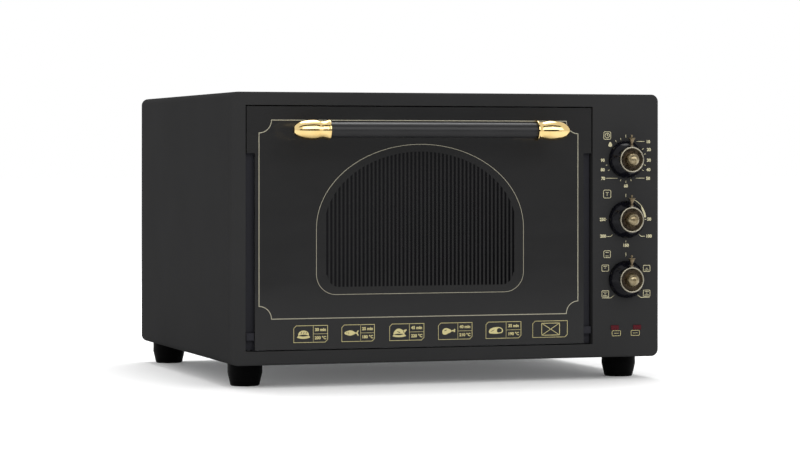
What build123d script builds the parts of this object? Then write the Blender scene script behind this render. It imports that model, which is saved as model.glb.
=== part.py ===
from build123d import *
import os

os.makedirs("parts", exist_ok=True)

# Mini oven. X runs to the right, Y from the door to the back, Z up. The origin is under the
# middle of the whole oven, handle included, on the surface that the feet stand on. All in mm.

# Case
case_width = 560.0
case_height = 332.0
case_depth = 484.0
corner_radius = 9.0
sheet = 1.2
seam = 0.4
wrap_flange = 12.0
rear_flange = 14.0

# Fascia: a shallow moulding, hollow behind, round the door and over the controls
fascia_depth = 12.0
fascia_skin = 2.0
fascia_edge_radius = 3.0
left_strip = 18.0
top_strip = 16.0
bottom_strip = 17.0
panel_width = 90.0
boss_radius = 4.0
boss_bore = 1.6

# Door
door_gap = 1.5
door_sheet = 1.5
glass_front = 1.0
glass_thickness = 4.0
pan_front = 8.0
door_rear = 24.0
channel_width = 10.5
channel_drop = 57.0
plateau_inset = 2.0

# Window: straight below, half an ellipse above
window_side_margin = 155.0
window_head_margin = 72.5
window_spring = 165.0
window_sill = 94.0
window_corner = 15.0
window_half_width = case_width / 2 - window_side_margin
window_arch_height = case_height - window_head_margin - window_spring
inner_glass_margin = 9.0
inner_glass_thickness = 3.8
clip_length = 18.0
clip_lip = 5.0

# Handle
handle_reach = 42.0
handle_drop = 46.5
handle_level = case_height - handle_drop
handle_bar_radius = 9.5
handle_bar_wall = 1.6
handle_side_margin = 102.5
handle_half_length = case_width / 2 - handle_side_margin
cap_length = 44.0
cap_radius = 12.3
cap_rim_radius = 12.7
cap_outline = ((0.12, 0.9), (0.34, 0.985), (0.55, 1.0), (0.76, 0.88), (0.92, 0.6))
cap_end_radius = 3.7
cap_turn = 0.5
cap_socket_depth = 14.0
handle_fit = 0.15
leg_inset = 25.0
leg_radius = 7.0
leg_foot_radius = 8.0
leg_foot_height = 3.0

# Hinge
hinge_setback = 7.0
hinge_level = 35.0
hinge_pin_radius = 2.0
hinge_pin_reach = 8.5
hinge_running_gap = 0.05
hinge_ear_wall = 1.4
bushing_wall = 1.0
bracket_width = 10.0
bracket_height = 22.0

# Oven cavity and what stands round it
bulkhead_setback = 32.0
cavity_wall = 1.0
cavity_side_space = 156.0
cavity_height_space = 96.0
cavity_depth_space = 84.0
cavity_width = case_width - cavity_side_space
cavity_height = case_height - cavity_height_space
cavity_depth = case_depth - cavity_depth_space
cavity_floor = 60.0
cavity_rim = 7.0
seal_width = 6.0
seal_gap = 0.3
insulation_thickness = 14.0
insulation_end_space = 20.0
insulation_length = cavity_depth - insulation_end_space
partition_gap = 18.0
seat_gap = 0.2

# Heating elements
element_radius = 3.2
element_front = 90.0
element_spacing = 210.0
element_inset = 16.0
element_reach = 26.0
bushing_radius = 5.8
bushing_flange_radius = 8.5
bushing_flange = 2.5

# Guides, rack and tray
rail_radius = 2.0
rail_end_space = 70.0
rail_length = cavity_depth - rail_end_space
rail_levels = (40.0, 88.0, 136.0)
rail_stand_off = 6.0
post_inset = 40.0
rack_rod_radius = 2.5
rack_bar_radius = 1.5
rack_bars = 17
rack_end_space = 50.0
rack_length = cavity_depth - rack_end_space
tray_end_space = 55.0
tray_length = cavity_depth - tray_end_space
tray_height = 20.0
tray_wall = 1.0
tray_lip = 8.0
tray_corner = 14.0
cookware_play = 1.5

# Knobs
knob_top_margin = 82.5
knob_row_space = 104.9
knob_top_level = case_height - knob_top_margin
knob_spacing = (case_height - knob_row_space) / 3
knob_gap = 0.8
skirt_radius = 23.5
skirt_edge = 3.0
knob_neck_radius = 12.5
knob_neck_reach = 17.0
knob_wall = 2.5
dish_radius = 16.2
dish_rim = 2.2
dish_reach = 21.5
dish_depth = 2.2
dome_radius = 9.0
dome_reach = 30.0
dome_gap = 0.1
crown_reach = 31.2
crown_plate_radius = 4.6
crown_neck_radius = 1.5
crown_collar_height = 2.4
crown_neck_height = 1.4
crown_step = 0.6
crown_plate_thickness = 0.9
crown_bevel = 0.4
crown_stem_height = 0.7
crown_ball_height = 2.2
crown_ball_round = 0.9
shaft_radius = 3.0
shaft_hole_radius = 4.5
shaft_reach = 13.0
shaft_depth = 12.0
shaft_fit = 0.05

# Controls behind the panel
timer_radius = 22.0
timer_depth = 27.0
thermostat_width = 40.0
thermostat_height = 34.0
thermostat_depth = 30.0
selector_size = 42.0
selector_depth = 33.0
control_screw_spread = 15.0
control_screw_radius = 1.7
bulb_radius = 2.6
bulb_length = 90.0
capillary_radius = 0.9

# Lamps
lamp_level = 37.3
lamp_spread = 30.4
lens_width = 10.5
lens_height = 5.7
lens_proud = 1.0
lens_flange = 2.0
lamp_radius = 3.0
lamp_length = 16.0

# Mains side
gland_level = 60.0
gland_radius = 8.0
gland_bore = 3.8
gland_flange = 3.0
block_size = (34.0, 20.0, 16.0)
loom_radius = 3.5
loom_bend = 20.0

# Feet and screws
foot_height = 28.0
foot_radius = 21.5
foot_base_radius = 18.0
foot_straight = 12.0
foot_side_inset = 32.0
foot_front_inset = 56.0
foot_rear_inset = 27.0
foot_screw_radius = 2.0
foot_screw_head = 4.5
foot_recess = 14.0
screw_radius = 1.5
screw_head_radius = 3.4
screw_head_height = 2.2
screw_play = 0.15

# Vents
vent_slot = (28.0, 4.0)
vent_pitch = (36.0, 10.0)
rear_vent_count = (4, 7)
base_vent_count = (5, 6)

# Places worked out from the sizes above
handle_front = handle_reach + cap_rim_radius
rear_proud = sheet + gland_flange
overall_depth = handle_front + case_depth + rear_proud
front = handle_front - overall_depth / 2
rear = front + case_depth
bottom = foot_height
top = bottom + case_height
middle_z = (bottom + top) / 2
half_width = case_width / 2
wrap_front = front + fascia_depth + seam
panel_left = half_width - panel_width
panel_middle = half_width - panel_width / 2

door_left = -half_width + left_strip + door_gap
door_right = panel_left - door_gap
door_bottom = bottom + bottom_strip + door_gap
door_top = top - top_strip - door_gap
door_middle = (door_left + door_right) / 2
glass_back = front + glass_front + glass_thickness
pan_face = front + pan_front
door_back = front + door_rear

bulkhead = front + bulkhead_setback
bulkhead_back = bulkhead + sheet
cavity_left = door_middle - cavity_width / 2
cavity_right = door_middle + cavity_width / 2
cavity_bottom = bottom + cavity_floor
cavity_top = cavity_bottom + cavity_height
cavity_front = bulkhead_back
cavity_back = cavity_front + cavity_depth
partition_left = cavity_right + cavity_wall + partition_gap
floor_top = bottom + 2 * sheet

hinge_y = front + hinge_setback
hinge_z = bottom + hinge_level
handle_y = front - handle_reach
handle_z = bottom + handle_level
boss_back = bulkhead - seat_gap
boss_z = (bottom + bottom_strip / 2, top - top_strip / 2)


# A plane that faces the front at depth y: local X is right, local Y is up, extrusions come forward
def facing(y):
    return Plane.XZ.offset(-y)


def span(low, high):
    return (low + high) / 2, high - low


# A block between two limits along each axis
def block(x, y, z, mode=Mode.ADD):
    (cx, dx), (cy, dy), (cz, dz) = span(*x), span(*y), span(*z)
    with Locations((cx, cy, cz)):
        Box(dx, dy, dz, mode=mode)


# A rod along X or Y between two limits
def rod_x(x, y, z, radius, mode=Mode.ADD):
    centre, length = span(*x)
    with Locations(Location((centre, y, z), (0, 90, 0))):
        Cylinder(radius, length, mode=mode)


def rod_y(x, y, z, radius, mode=Mode.ADD):
    centre, length = span(*y)
    with Locations(Location((x, centre, z), (90, 0, 0))):
        Cylinder(radius, length, mode=mode)


def keep(piece, name):
    piece.part.label = name
    export_step(piece.part, f"parts/{name}.step")


# Outer shell, bent from one sheet: sides, top, a narrow flange under each side and one at the back
inner_width = case_width - 2 * sheet
inner_height = case_height - 2 * sheet
with BuildPart() as case_wrap:
    with BuildSketch(facing(rear)):
        with Locations((0, middle_z)):
            RectangleRounded(case_width, case_height, corner_radius)
            RectangleRounded(inner_width, inner_height, corner_radius - sheet, mode=Mode.SUBTRACT)
    extrude(amount=rear - wrap_front)
    with BuildSketch(facing(rear)):
        with Locations((0, middle_z)):
            RectangleRounded(case_width, case_height, corner_radius)
            Rectangle(
                case_width - 2 * rear_flange, case_height - 2 * rear_flange, mode=Mode.SUBTRACT
            )
    extrude(amount=sheet)
    open_half = half_width - corner_radius - wrap_flange
    block((-open_half, open_half), (wrap_front, rear - sheet), (bottom, bottom + sheet), Mode.SUBTRACT)
    for x in (-half_width + rear_flange / 2, half_width - rear_flange / 2):
        for z in (bottom + case_height / 5, middle_z, top - case_height / 5):
            rod_y(x, (rear - sheet, rear), z, screw_radius + screw_play, Mode.SUBTRACT)
keep(case_wrap, "case_wrap")

# Floor of the case, lying on the two flanges, with a field of vent slots and the foot screw holes
foot_x = half_width - foot_side_inset
foot_y = (front + foot_front_inset, rear - foot_rear_inset)
foot_places = [(x, y) for x in (-foot_x, foot_x) for y in foot_y]
floor_half = half_width - sheet - seat_gap
floor_reach = half_width - corner_radius - seat_gap
with BuildPart() as base_plate:
    block((-floor_reach, floor_reach), (bulkhead_back, rear - sheet), (bottom + sheet, floor_top))
    with BuildSketch(Plane.XY.offset(bottom)):
        with Locations((door_middle, (front + rear) / 2)):
            with GridLocations(*vent_pitch, *base_vent_count):
                SlotOverall(*vent_slot)
        with Locations(*foot_places):
            Circle(foot_screw_radius + screw_play)
    extrude(amount=foot_height, mode=Mode.SUBTRACT)
keep(base_plate, "base_plate")

# Back cover, screwed on the shell's rear flange, with vent slots and the hole for the mains lead
rear_face = rear + sheet
cover_margin = 3.0
with BuildPart() as rear_panel:
    with BuildSketch(facing(rear_face)):
        with Locations((0, middle_z)):
            RectangleRounded(
                case_width - 2 * cover_margin, case_height - 2 * cover_margin, corner_radius - cover_margin
            )
        for x in (-case_width / 4, case_width / 4):
            with Locations((x, middle_z + case_height / 5)):
                with GridLocations(*vent_pitch, *rear_vent_count):
                    SlotOverall(*vent_slot, mode=Mode.SUBTRACT)
        with Locations((panel_middle, bottom + gland_level)):
            Circle(gland_radius + seat_gap, mode=Mode.SUBTRACT)
        for x in (-half_width + rear_flange / 2, half_width - rear_flange / 2):
            with Locations(
                (x, bottom + case_height / 5), (x, middle_z), (x, top - case_height / 5)
            ):
                Circle(screw_radius + screw_play, mode=Mode.SUBTRACT)
    extrude(amount=sheet)
keep(rear_panel, "rear_panel")

with BuildPart() as rear_screws:
    for x in (-half_width + rear_flange / 2, half_width - rear_flange / 2):
        for z in (bottom + case_height / 5, middle_z, top - case_height / 5):
            rod_y(x, (rear - 3 * sheet, rear_face), z, screw_radius)
            rod_y(x, (rear_face, rear_face + screw_head_height), z, screw_head_radius)
keep(rear_screws, "rear_screws")

# Fascia round the door: strips at the left, above and below, hollow from behind
frame_bosses = [(x, z) for x in (-half_width + left_strip / 2, panel_left - 2 * left_strip) for z in boss_z]
frame_right = panel_left
opening_x = (door_left - door_gap, frame_right)
opening_z = (door_bottom - door_gap, door_top + door_gap)
with BuildPart() as front_frame:
    with BuildSketch(facing(front + fascia_depth)):
        with Locations((0, middle_z)):
            RectangleRounded(case_width, case_height, corner_radius)
        with Locations(((frame_right + half_width) / 2, middle_z)):
            Rectangle(half_width - frame_right, case_height, mode=Mode.SUBTRACT)
    extrude(amount=fascia_depth)
    rim = front_frame.faces().sort_by(Axis.Y)[0].edges()
    fillet(rim.filter_by(lambda e: e.center().X < frame_right - door_gap), fascia_edge_radius)
    block(opening_x, (front, front + fascia_depth), opening_z, Mode.SUBTRACT)
    with BuildSketch(facing(front + fascia_depth)):
        with Locations((0, middle_z)):
            RectangleRounded(
                case_width - 2 * fascia_skin, case_height - 2 * fascia_skin, corner_radius - fascia_skin
            )
        with Locations((span(opening_x[0] - fascia_skin, half_width)[0], span(*opening_z)[0])):
            Rectangle(
                half_width - opening_x[0] + fascia_skin,
                opening_z[1] - opening_z[0] + 2 * fascia_skin,
                mode=Mode.SUBTRACT,
            )
        with Locations(((frame_right - fascia_skin + half_width) / 2, middle_z)):
            Rectangle(half_width - frame_right + fascia_skin, case_height, mode=Mode.SUBTRACT)
    extrude(amount=fascia_depth - fascia_skin, mode=Mode.SUBTRACT)
    for x, z in frame_bosses:
        rod_y(x, (front + fascia_skin, boss_back), z, boss_radius)
        rod_y(x, (front + 2 * fascia_skin, boss_back), z, boss_bore, Mode.SUBTRACT)
    rod_x(
        (opening_x[0] - fascia_skin, opening_x[0]), hinge_y, hinge_z,
        hinge_pin_radius + seam, Mode.SUBTRACT,
    )
keep(front_frame, "front_frame")

# Control panel: the right part of the fascia, with shaft holes and two lamp windows
knob_levels = [bottom + knob_top_level - i * knob_spacing for i in range(3)]
timer_z, thermostat_z, selector_z = knob_levels
lamp_places = [(panel_middle + side * lamp_spread / 2, bottom + lamp_level) for side in (-1, 1)]
panel_bosses = [
    (x, z) for x in (panel_left + left_strip / 2, half_width - left_strip / 2) for z in boss_z
]
with BuildPart() as control_panel:
    with BuildSketch(facing(front + fascia_depth)):
        with Locations((0, middle_z)):
            RectangleRounded(case_width, case_height, corner_radius)
        with Locations(((panel_left - half_width) / 2, middle_z)):
            Rectangle(half_width + panel_left, case_height, mode=Mode.SUBTRACT)
    extrude(amount=fascia_depth)
    rim = control_panel.faces().sort_by(Axis.Y)[0].edges()
    fillet(rim.filter_by(lambda e: e.center().X > panel_left + door_gap), fascia_edge_radius)
    with BuildSketch(facing(front + fascia_depth)):
        with Locations((0, middle_z)):
            RectangleRounded(
                case_width - 2 * fascia_skin, case_height - 2 * fascia_skin, corner_radius - fascia_skin
            )
        with Locations(((panel_left + fascia_skin - half_width) / 2, middle_z)):
            Rectangle(half_width + panel_left + fascia_skin, case_height, mode=Mode.SUBTRACT)
    extrude(amount=fascia_depth - fascia_skin, mode=Mode.SUBTRACT)
    for x, z in panel_bosses:
        rod_y(x, (front + fascia_skin, boss_back), z, boss_radius)
        rod_y(x, (front + 2 * fascia_skin, boss_back), z, boss_bore, Mode.SUBTRACT)
    with BuildSketch(facing(front + fascia_skin)):
        for z in knob_levels:
            with Locations((panel_middle, z)):
                Circle(shaft_hole_radius)
            with Locations((panel_middle - control_screw_spread, z), (panel_middle + control_screw_spread, z)):
                Circle(control_screw_radius)
        with Locations(*lamp_places):
            Rectangle(lens_width + 2 * seat_gap, lens_height + 2 * seat_gap)
    extrude(amount=fascia_skin, mode=Mode.SUBTRACT)
    rod_x(
        (panel_left, panel_left + fascia_skin), hinge_y, hinge_z,
        hinge_pin_radius + seam, Mode.SUBTRACT,
    )
keep(control_panel, "control_panel")

# Steel bulkhead behind the fascia: carries the cavity, the fascia bosses and the hinge brackets
control_bay = (panel_left + left_strip, half_width - left_strip)
bay_z = (bottom + bottom_strip + top_strip, top - top_strip - bottom_strip)
bulkhead_holes = frame_bosses + panel_bosses
with BuildPart() as front_bulkhead:
    block((-floor_half, floor_half), (bulkhead, bulkhead_back), (bottom + sheet, top - sheet - seat_gap))
    corner_edges = front_bulkhead.edges().filter_by(Axis.Y)
    fillet(corner_edges, corner_radius)
    block((cavity_left, cavity_right), (bulkhead, bulkhead_back), (cavity_bottom, cavity_top), Mode.SUBTRACT)
    block(control_bay, (bulkhead, bulkhead_back), bay_z, Mode.SUBTRACT)
    for x, z in bulkhead_holes:
        rod_y(x, (bulkhead, bulkhead_back), z, screw_radius + screw_play, Mode.SUBTRACT)
keep(front_bulkhead, "front_bulkhead")

with BuildPart() as fascia_screws:
    for x, z in bulkhead_holes:
        rod_y(x, (bulkhead - 3 * fascia_skin, bulkhead_back), z, screw_radius)
        rod_y(x, (bulkhead_back, bulkhead_back + screw_head_height), z, screw_head_radius)
keep(fascia_screws, "fascia_screws")

# Oven cavity: an enamelled box, open at the front, with a rim that lies on the bulkhead
element_levels = (cavity_bottom + element_inset, cavity_top - element_inset)
element_depths = [cavity_front + element_front + i * element_spacing for i in range(2)]
element_places = [(y, z) for y in element_depths for z in element_levels]
bulb_y = cavity_back - element_front
bulb_z = cavity_top - 2.4 * element_inset
capillary_y = bulb_y - bulb_length + bulb_radius
wall_left = (cavity_left - cavity_wall, cavity_left)
wall_right = (cavity_right, cavity_right + cavity_wall)
with BuildPart() as cavity:
    block(
        (wall_left[0], wall_right[1]),
        (cavity_front, cavity_back + cavity_wall),
        (cavity_bottom - cavity_wall, cavity_top + cavity_wall),
    )
    block(
        (wall_left[0] - cavity_rim, wall_right[1] + cavity_rim),
        (cavity_front, cavity_front + cavity_wall),
        (cavity_bottom - cavity_wall - cavity_rim, cavity_top + cavity_wall + cavity_rim),
    )
    block((cavity_left, cavity_right), (cavity_front, cavity_back), (cavity_bottom, cavity_top), Mode.SUBTRACT)
    for y, z in element_places:
        rod_x(wall_left, y, z, bushing_radius + seat_gap, Mode.SUBTRACT)
        rod_x(wall_right, y, z, bushing_radius + seat_gap, Mode.SUBTRACT)
    rod_x(wall_right, capillary_y, bulb_z, 2 * capillary_radius, Mode.SUBTRACT)
keep(cavity, "cavity")

# Wall between the cavity and the controls
partition_x = (partition_left, partition_left + sheet)
with BuildPart() as partition:
    block(partition_x, (bulkhead_back, rear - sheet), (floor_top, top - sheet - seat_gap))
    for y, z in element_places:
        rod_x(partition_x, y, z, bushing_flange_radius, Mode.SUBTRACT)
    rod_x(partition_x, capillary_y, bulb_z, 3 * capillary_radius, Mode.SUBTRACT)
keep(partition, "partition")

# Mineral wool over the top and down both sides of the cavity
wool_in = (wall_left[0] - seat_gap, wall_right[1] + seat_gap)
wool_out = (wool_in[0] - insulation_thickness, wool_in[1] + insulation_thickness)
wool_y = (cavity_front + cavity_wall + seat_gap, cavity_front + insulation_length)
wool_top = cavity_top + cavity_wall + seat_gap
with BuildPart() as insulation:
    block(wool_out, wool_y, (cavity_bottom, wool_top + insulation_thickness))
    block(wool_in, wool_y, (cavity_bottom, wool_top), Mode.SUBTRACT)
    for y, z in element_places:
        rod_x(wool_out, y, z, bushing_flange_radius, Mode.SUBTRACT)
    rod_x((wool_in[1], wool_out[1]), capillary_y, bulb_z, 3 * capillary_radius, Mode.SUBTRACT)
keep(insulation, "insulation")

# Rope seal round the cavity's mouth, on the bulkhead's front
seal_in_x = (cavity_left - cavity_wall, cavity_right + cavity_wall)
seal_in_z = (cavity_bottom - cavity_wall, cavity_top + cavity_wall)
seal_y = (door_back + seal_gap, bulkhead)
with BuildPart() as door_seal:
    block(
        (seal_in_x[0] - seal_width, seal_in_x[1] + seal_width), seal_y,
        (seal_in_z[0] - seal_width, seal_in_z[1] + seal_width),
    )
    fillet(door_seal.edges().filter_by(Axis.Y), seal_width)
    block(seal_in_x, seal_y, seal_in_z, Mode.SUBTRACT)
    seal_front = door_seal.faces().sort_by(Axis.Y)[0]
    fillet(seal_front.outer_wire().edges(), seal_width / 4)
keep(door_seal, "door_seal")


# Tubular heating elements, two above and two below, each in two ceramic bushings
def element_pair(level):
    with BuildPart() as pair:
        for y in element_depths:
            rod_x((wall_left[0] - element_reach / 2, wall_right[1] + element_reach), y, level, element_radius)
    return pair


keep(element_pair(element_levels[0]), "lower_elements")
keep(element_pair(element_levels[1]), "upper_elements")

with BuildPart() as element_bushings:
    for y, z in element_places:
        for wall, inward in ((wall_left, 1), (wall_right, -1)):
            inner_face = wall[1] if inward > 0 else wall[0]
            outer_face = wall[0] if inward > 0 else wall[1]
            flange_end = inner_face + inward * bushing_flange
            tail_end = outer_face - inward * 3 * bushing_flange
            rod_x(sorted((inner_face, flange_end)), y, z, bushing_flange_radius)
            rod_x(sorted((inner_face, tail_end)), y, z, bushing_radius)
            rod_x(sorted((flange_end, tail_end)), y, z, element_radius + shaft_fit, Mode.SUBTRACT)
keep(element_bushings, "element_bushings")


# Wire guides on the cavity's side walls: two posts with stand-offs and three rails
def rack_guide(wall_x, inward):
    axis_x = wall_x + inward * rail_stand_off
    rail_front = cavity_front + (cavity_depth - rail_length) / 2
    posts = (rail_front + post_inset, rail_front + rail_length - post_inset)
    low, high = rail_levels[0], rail_levels[-1]
    with BuildPart() as guide:
        for y in posts:
            centre, length = span(cavity_bottom + low / 2, cavity_bottom + high + low / 2)
            with Locations((axis_x, y, centre)):
                Cylinder(rail_radius, length)
            for z in (cavity_bottom + low * 0.7, cavity_bottom + high + low * 0.3):
                rod_x(sorted((wall_x, axis_x)), y, z, rail_radius)
        for level in rail_levels:
            rod_y(
                axis_x + inward * rail_radius, (rail_front, rail_front + rail_length),
                cavity_bottom + level, rail_radius,
            )
    return guide


keep(rack_guide(cavity_left, 1), "rack_guide_left")
keep(rack_guide(cavity_right, -1), "rack_guide_right")

# Wire rack on the highest rails
rack_half = cavity_width / 2 - rail_stand_off - rack_rod_radius
rack_z = cavity_bottom + rail_levels[2] + rail_radius + rack_rod_radius + seat_gap
rack_y = span(cavity_front + (cavity_depth - rack_length) / 2, cavity_back - (cavity_depth - rack_length) / 2)
rack_ends = (rack_y[0] - rack_length / 2, rack_y[0] + rack_length / 2)
rack_sides = (door_middle - rack_half + rack_rod_radius, door_middle + rack_half - rack_rod_radius)
with BuildPart() as wire_rack:
    for x in rack_sides:
        rod_y(x, rack_ends, rack_z, rack_rod_radius)
    for y in rack_ends:
        rod_x(rack_sides, y, rack_z, rack_rod_radius)
    with Locations(*[(x, y, rack_z) for x in rack_sides for y in rack_ends]):
        Sphere(rack_rod_radius)
    for i in range(rack_bars):
        x = door_middle + (i - (rack_bars - 1) / 2) * 2 * rack_half / (rack_bars + 1)
        rod_y(x, rack_ends, rack_z, rack_bar_radius)
keep(wire_rack, "wire_rack")

# Baking tray on the lowest rails
tray_half = cavity_width / 2 - rail_stand_off - cookware_play - rail_radius
tray_z = cavity_bottom + rail_levels[0] + rail_radius + seat_gap
tray_floor = tray_z - tray_height
tray_pan_half = tray_half - tray_lip
with BuildPart() as baking_tray:
    with BuildSketch(Plane(origin=(door_middle, rack_y[0], tray_floor))):
        RectangleRounded(2 * tray_pan_half, tray_length - 2 * tray_lip, tray_corner)
    extrude(amount=tray_height)
    with BuildSketch(Plane(origin=(door_middle, rack_y[0], tray_z))):
        RectangleRounded(2 * tray_half, tray_length, tray_corner)
    extrude(amount=tray_wall)
    with BuildSketch(Plane(origin=(door_middle, rack_y[0], tray_floor + tray_wall))):
        RectangleRounded(
            2 * (tray_pan_half - tray_wall), tray_length - 2 * (tray_lip + tray_wall), tray_corner - tray_wall
        )
    extrude(amount=tray_height, mode=Mode.SUBTRACT)
keep(baking_tray, "baking_tray")

# Hinge brackets on the bulkhead, and the hinge pins in them
bracket_z = (hinge_z - bracket_height / 2, hinge_z + bracket_height / 2)
bracket_y = (front + fascia_skin + seam, bulkhead)
bracket_gap = fascia_skin + seam
side_walls = {"left": (opening_x[0], -1, door_left), "right": (panel_left, 1, door_right)}


def hinge_bracket(face, outward):
    x = sorted((face + outward * bracket_gap, face + outward * (bracket_gap + bracket_width)))
    with BuildPart() as bracket:
        block(x, bracket_y, bracket_z)
        fillet(bracket.edges().filter_by(Axis.X).sort_by(Axis.Y)[:2], 3 * sheet)
        rod_x(x, hinge_y, hinge_z, hinge_pin_radius + hinge_running_gap, Mode.SUBTRACT)
    return bracket


for side, (face, outward, door_edge) in side_walls.items():
    keep(hinge_bracket(face, outward), f"hinge_bracket_{side}")

with BuildPart() as hinge_pins:
    for face, outward, door_edge in side_walls.values():
        start = face + outward * (bracket_gap + bracket_width)
        rod_x(sorted((start, door_edge - outward * hinge_pin_reach)), hinge_y, hinge_z, hinge_pin_radius)
keep(hinge_pins, "hinge_pins")

# Door pan: a shallow tray of sheet, hollow from behind, with a raised field that carries the glass
window_x = (door_middle - window_half_width, door_middle + window_half_width)
glass_x = (door_left + channel_width, door_right - channel_width)
shoulder_z = door_top - channel_drop
leg_x = [door_middle + side * (handle_half_length - leg_inset) for side in (-1, 1)]


def window_outline(inset):
    half = window_half_width - inset
    foot = window_spring - window_sill - inset
    with Locations((door_middle, bottom + window_spring)):
        Ellipse(half, window_arch_height - inset)
    with Locations((door_middle, bottom + window_spring - foot / 2)):
        RectangleRounded(2 * half, foot, window_corner)
    with Locations((door_middle, bottom + window_spring - foot / 4)):
        Rectangle(2 * half, foot / 2)


# The glass is as wide as the door at its top and leaves a channel down each side below that
def glass_outline(inset):
    with Locations((door_middle, span(shoulder_z + inset, door_top - inset)[0])):
        Rectangle(door_right - door_left - 2 * inset, channel_drop - 2 * inset)
    with Locations((door_middle, span(door_bottom + inset, door_top - inset)[0])):
        Rectangle(glass_x[1] - glass_x[0] - 2 * inset, door_top - door_bottom - 2 * inset)


plateau_height = pan_face - glass_back
bush_radius = hinge_pin_radius + bushing_wall
ear_half = bush_radius + hinge_ear_wall
with BuildPart() as door_pan:
    block((door_left, door_right), (pan_face, door_back), (door_bottom, door_top))
    with BuildSketch(facing(pan_face)):
        glass_outline(plateau_inset)
    extrude(amount=plateau_height)
    block(
        (door_left + door_sheet, door_right - door_sheet),
        (pan_face + door_sheet, door_back),
        (door_bottom + door_sheet, door_top - door_sheet),
        Mode.SUBTRACT,
    )
    with BuildSketch(facing(pan_face + door_sheet)):
        glass_outline(plateau_inset + door_sheet)
    extrude(amount=plateau_height, mode=Mode.SUBTRACT)
    with BuildSketch(facing(pan_face + door_sheet)):
        window_outline(0)
    extrude(amount=plateau_height + door_sheet, mode=Mode.SUBTRACT)
    for x in leg_x:
        rod_y(x, (glass_back, pan_face), handle_z, foot_screw_radius + screw_play, Mode.SUBTRACT)
    for face, outward, door_edge in side_walls.values():
        ear_x = sorted((door_edge, door_edge - outward * (channel_width - door_sheet / 2)))
        block(ear_x, (hinge_y - ear_half, hinge_y + ear_half), (hinge_z - ear_half, hinge_z + ear_half))
        bush_x = sorted((door_edge, door_edge - outward * (hinge_pin_reach + seat_gap)))
        rod_x(bush_x, hinge_y, hinge_z, bush_radius + hinge_running_gap, Mode.SUBTRACT)
keep(door_pan, "door_pan")

with BuildPart() as outer_glass:
    with BuildSketch(facing(glass_back)):
        glass_outline(0)
    extrude(amount=glass_thickness)
    for x in leg_x:
        rod_y(x, (front, glass_back), handle_z, foot_screw_radius + screw_play, Mode.SUBTRACT)
keep(outer_glass, "outer_glass")

# Liner that closes the pan from behind, with a square window for the inner glass
liner_half = (door_right - door_left) / 2 - door_sheet - seat_gap
liner_z = (door_bottom + door_sheet + seat_gap, door_top - door_sheet - seat_gap)
liner_face = door_back - door_sheet
pane_half = window_half_width + inner_glass_margin
pane_z = (bottom + window_sill - inner_glass_margin, bottom + window_spring + window_arch_height)
with BuildPart() as door_liner:
    block(
        (door_middle - liner_half, door_middle + liner_half), (liner_face, door_back), liner_z
    )
    block(
        (door_middle - pane_half + inner_glass_margin, door_middle + pane_half - inner_glass_margin),
        (liner_face, door_back),
        (pane_z[0] + inner_glass_margin, pane_z[1] - inner_glass_margin),
        Mode.SUBTRACT,
    )
    fillet(door_liner.edges().filter_by(Axis.Y).group_by(SortBy.DISTANCE)[0], window_corner)
keep(door_liner, "door_liner")

pane_y = (liner_face - inner_glass_thickness, liner_face)
with BuildPart() as inner_glass:
    block((door_middle - pane_half, door_middle + pane_half), pane_y, pane_z)
    fillet(inner_glass.edges().filter_by(Axis.Y), sheet)
keep(inner_glass, "inner_glass")

# Four bent clips on the liner hold the inner glass at its sides
clip_levels = (pane_z[0] + 2 * clip_length, pane_z[1] - 2 * clip_length)
with BuildPart() as glass_clips:
    for side in (-1, 1):
        edge = door_middle + side * (pane_half + seat_gap)
        for z in clip_levels:
            height = (z - clip_length / 2, z + clip_length / 2)
            lip_y = (pane_y[0] - seat_gap - sheet, pane_y[0] - seat_gap)
            foot_y_range = (liner_face - sheet, liner_face)
            block(sorted((edge, edge + side * sheet)), (lip_y[0], liner_face), height)
            block(sorted((edge - side * clip_lip, edge + side * sheet)), lip_y, height)
            block(sorted((edge, edge + side * 2 * clip_lip)), foot_y_range, height)
keep(glass_clips, "glass_clips")

# Bushes pressed in the pan's two hinge ears, which turn on the pins
with BuildPart() as hinge_bushings:
    for face, outward, door_edge in side_walls.values():
        x = sorted((door_edge, door_edge - outward * (hinge_pin_reach + seat_gap)))
        rod_x(x, hinge_y, hinge_z, bush_radius)
        rod_x(x, hinge_y, hinge_z, hinge_pin_radius + hinge_running_gap, Mode.SUBTRACT)
keep(hinge_bushings, "hinge_bushings")

# Door handle: a black tube between two plated end caps, each on a leg screwed from inside the door
bar_half = handle_half_length - cap_length + cap_socket_depth - seat_gap
with BuildPart() as handle_bar:
    rod_x((door_middle - bar_half, door_middle + bar_half), handle_y, handle_z, handle_bar_radius)
    rod_x(
        (door_middle - bar_half, door_middle + bar_half), handle_y, handle_z,
        handle_bar_radius - handle_bar_wall, Mode.SUBTRACT,
    )
keep(handle_bar, "handle_bar")


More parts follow.
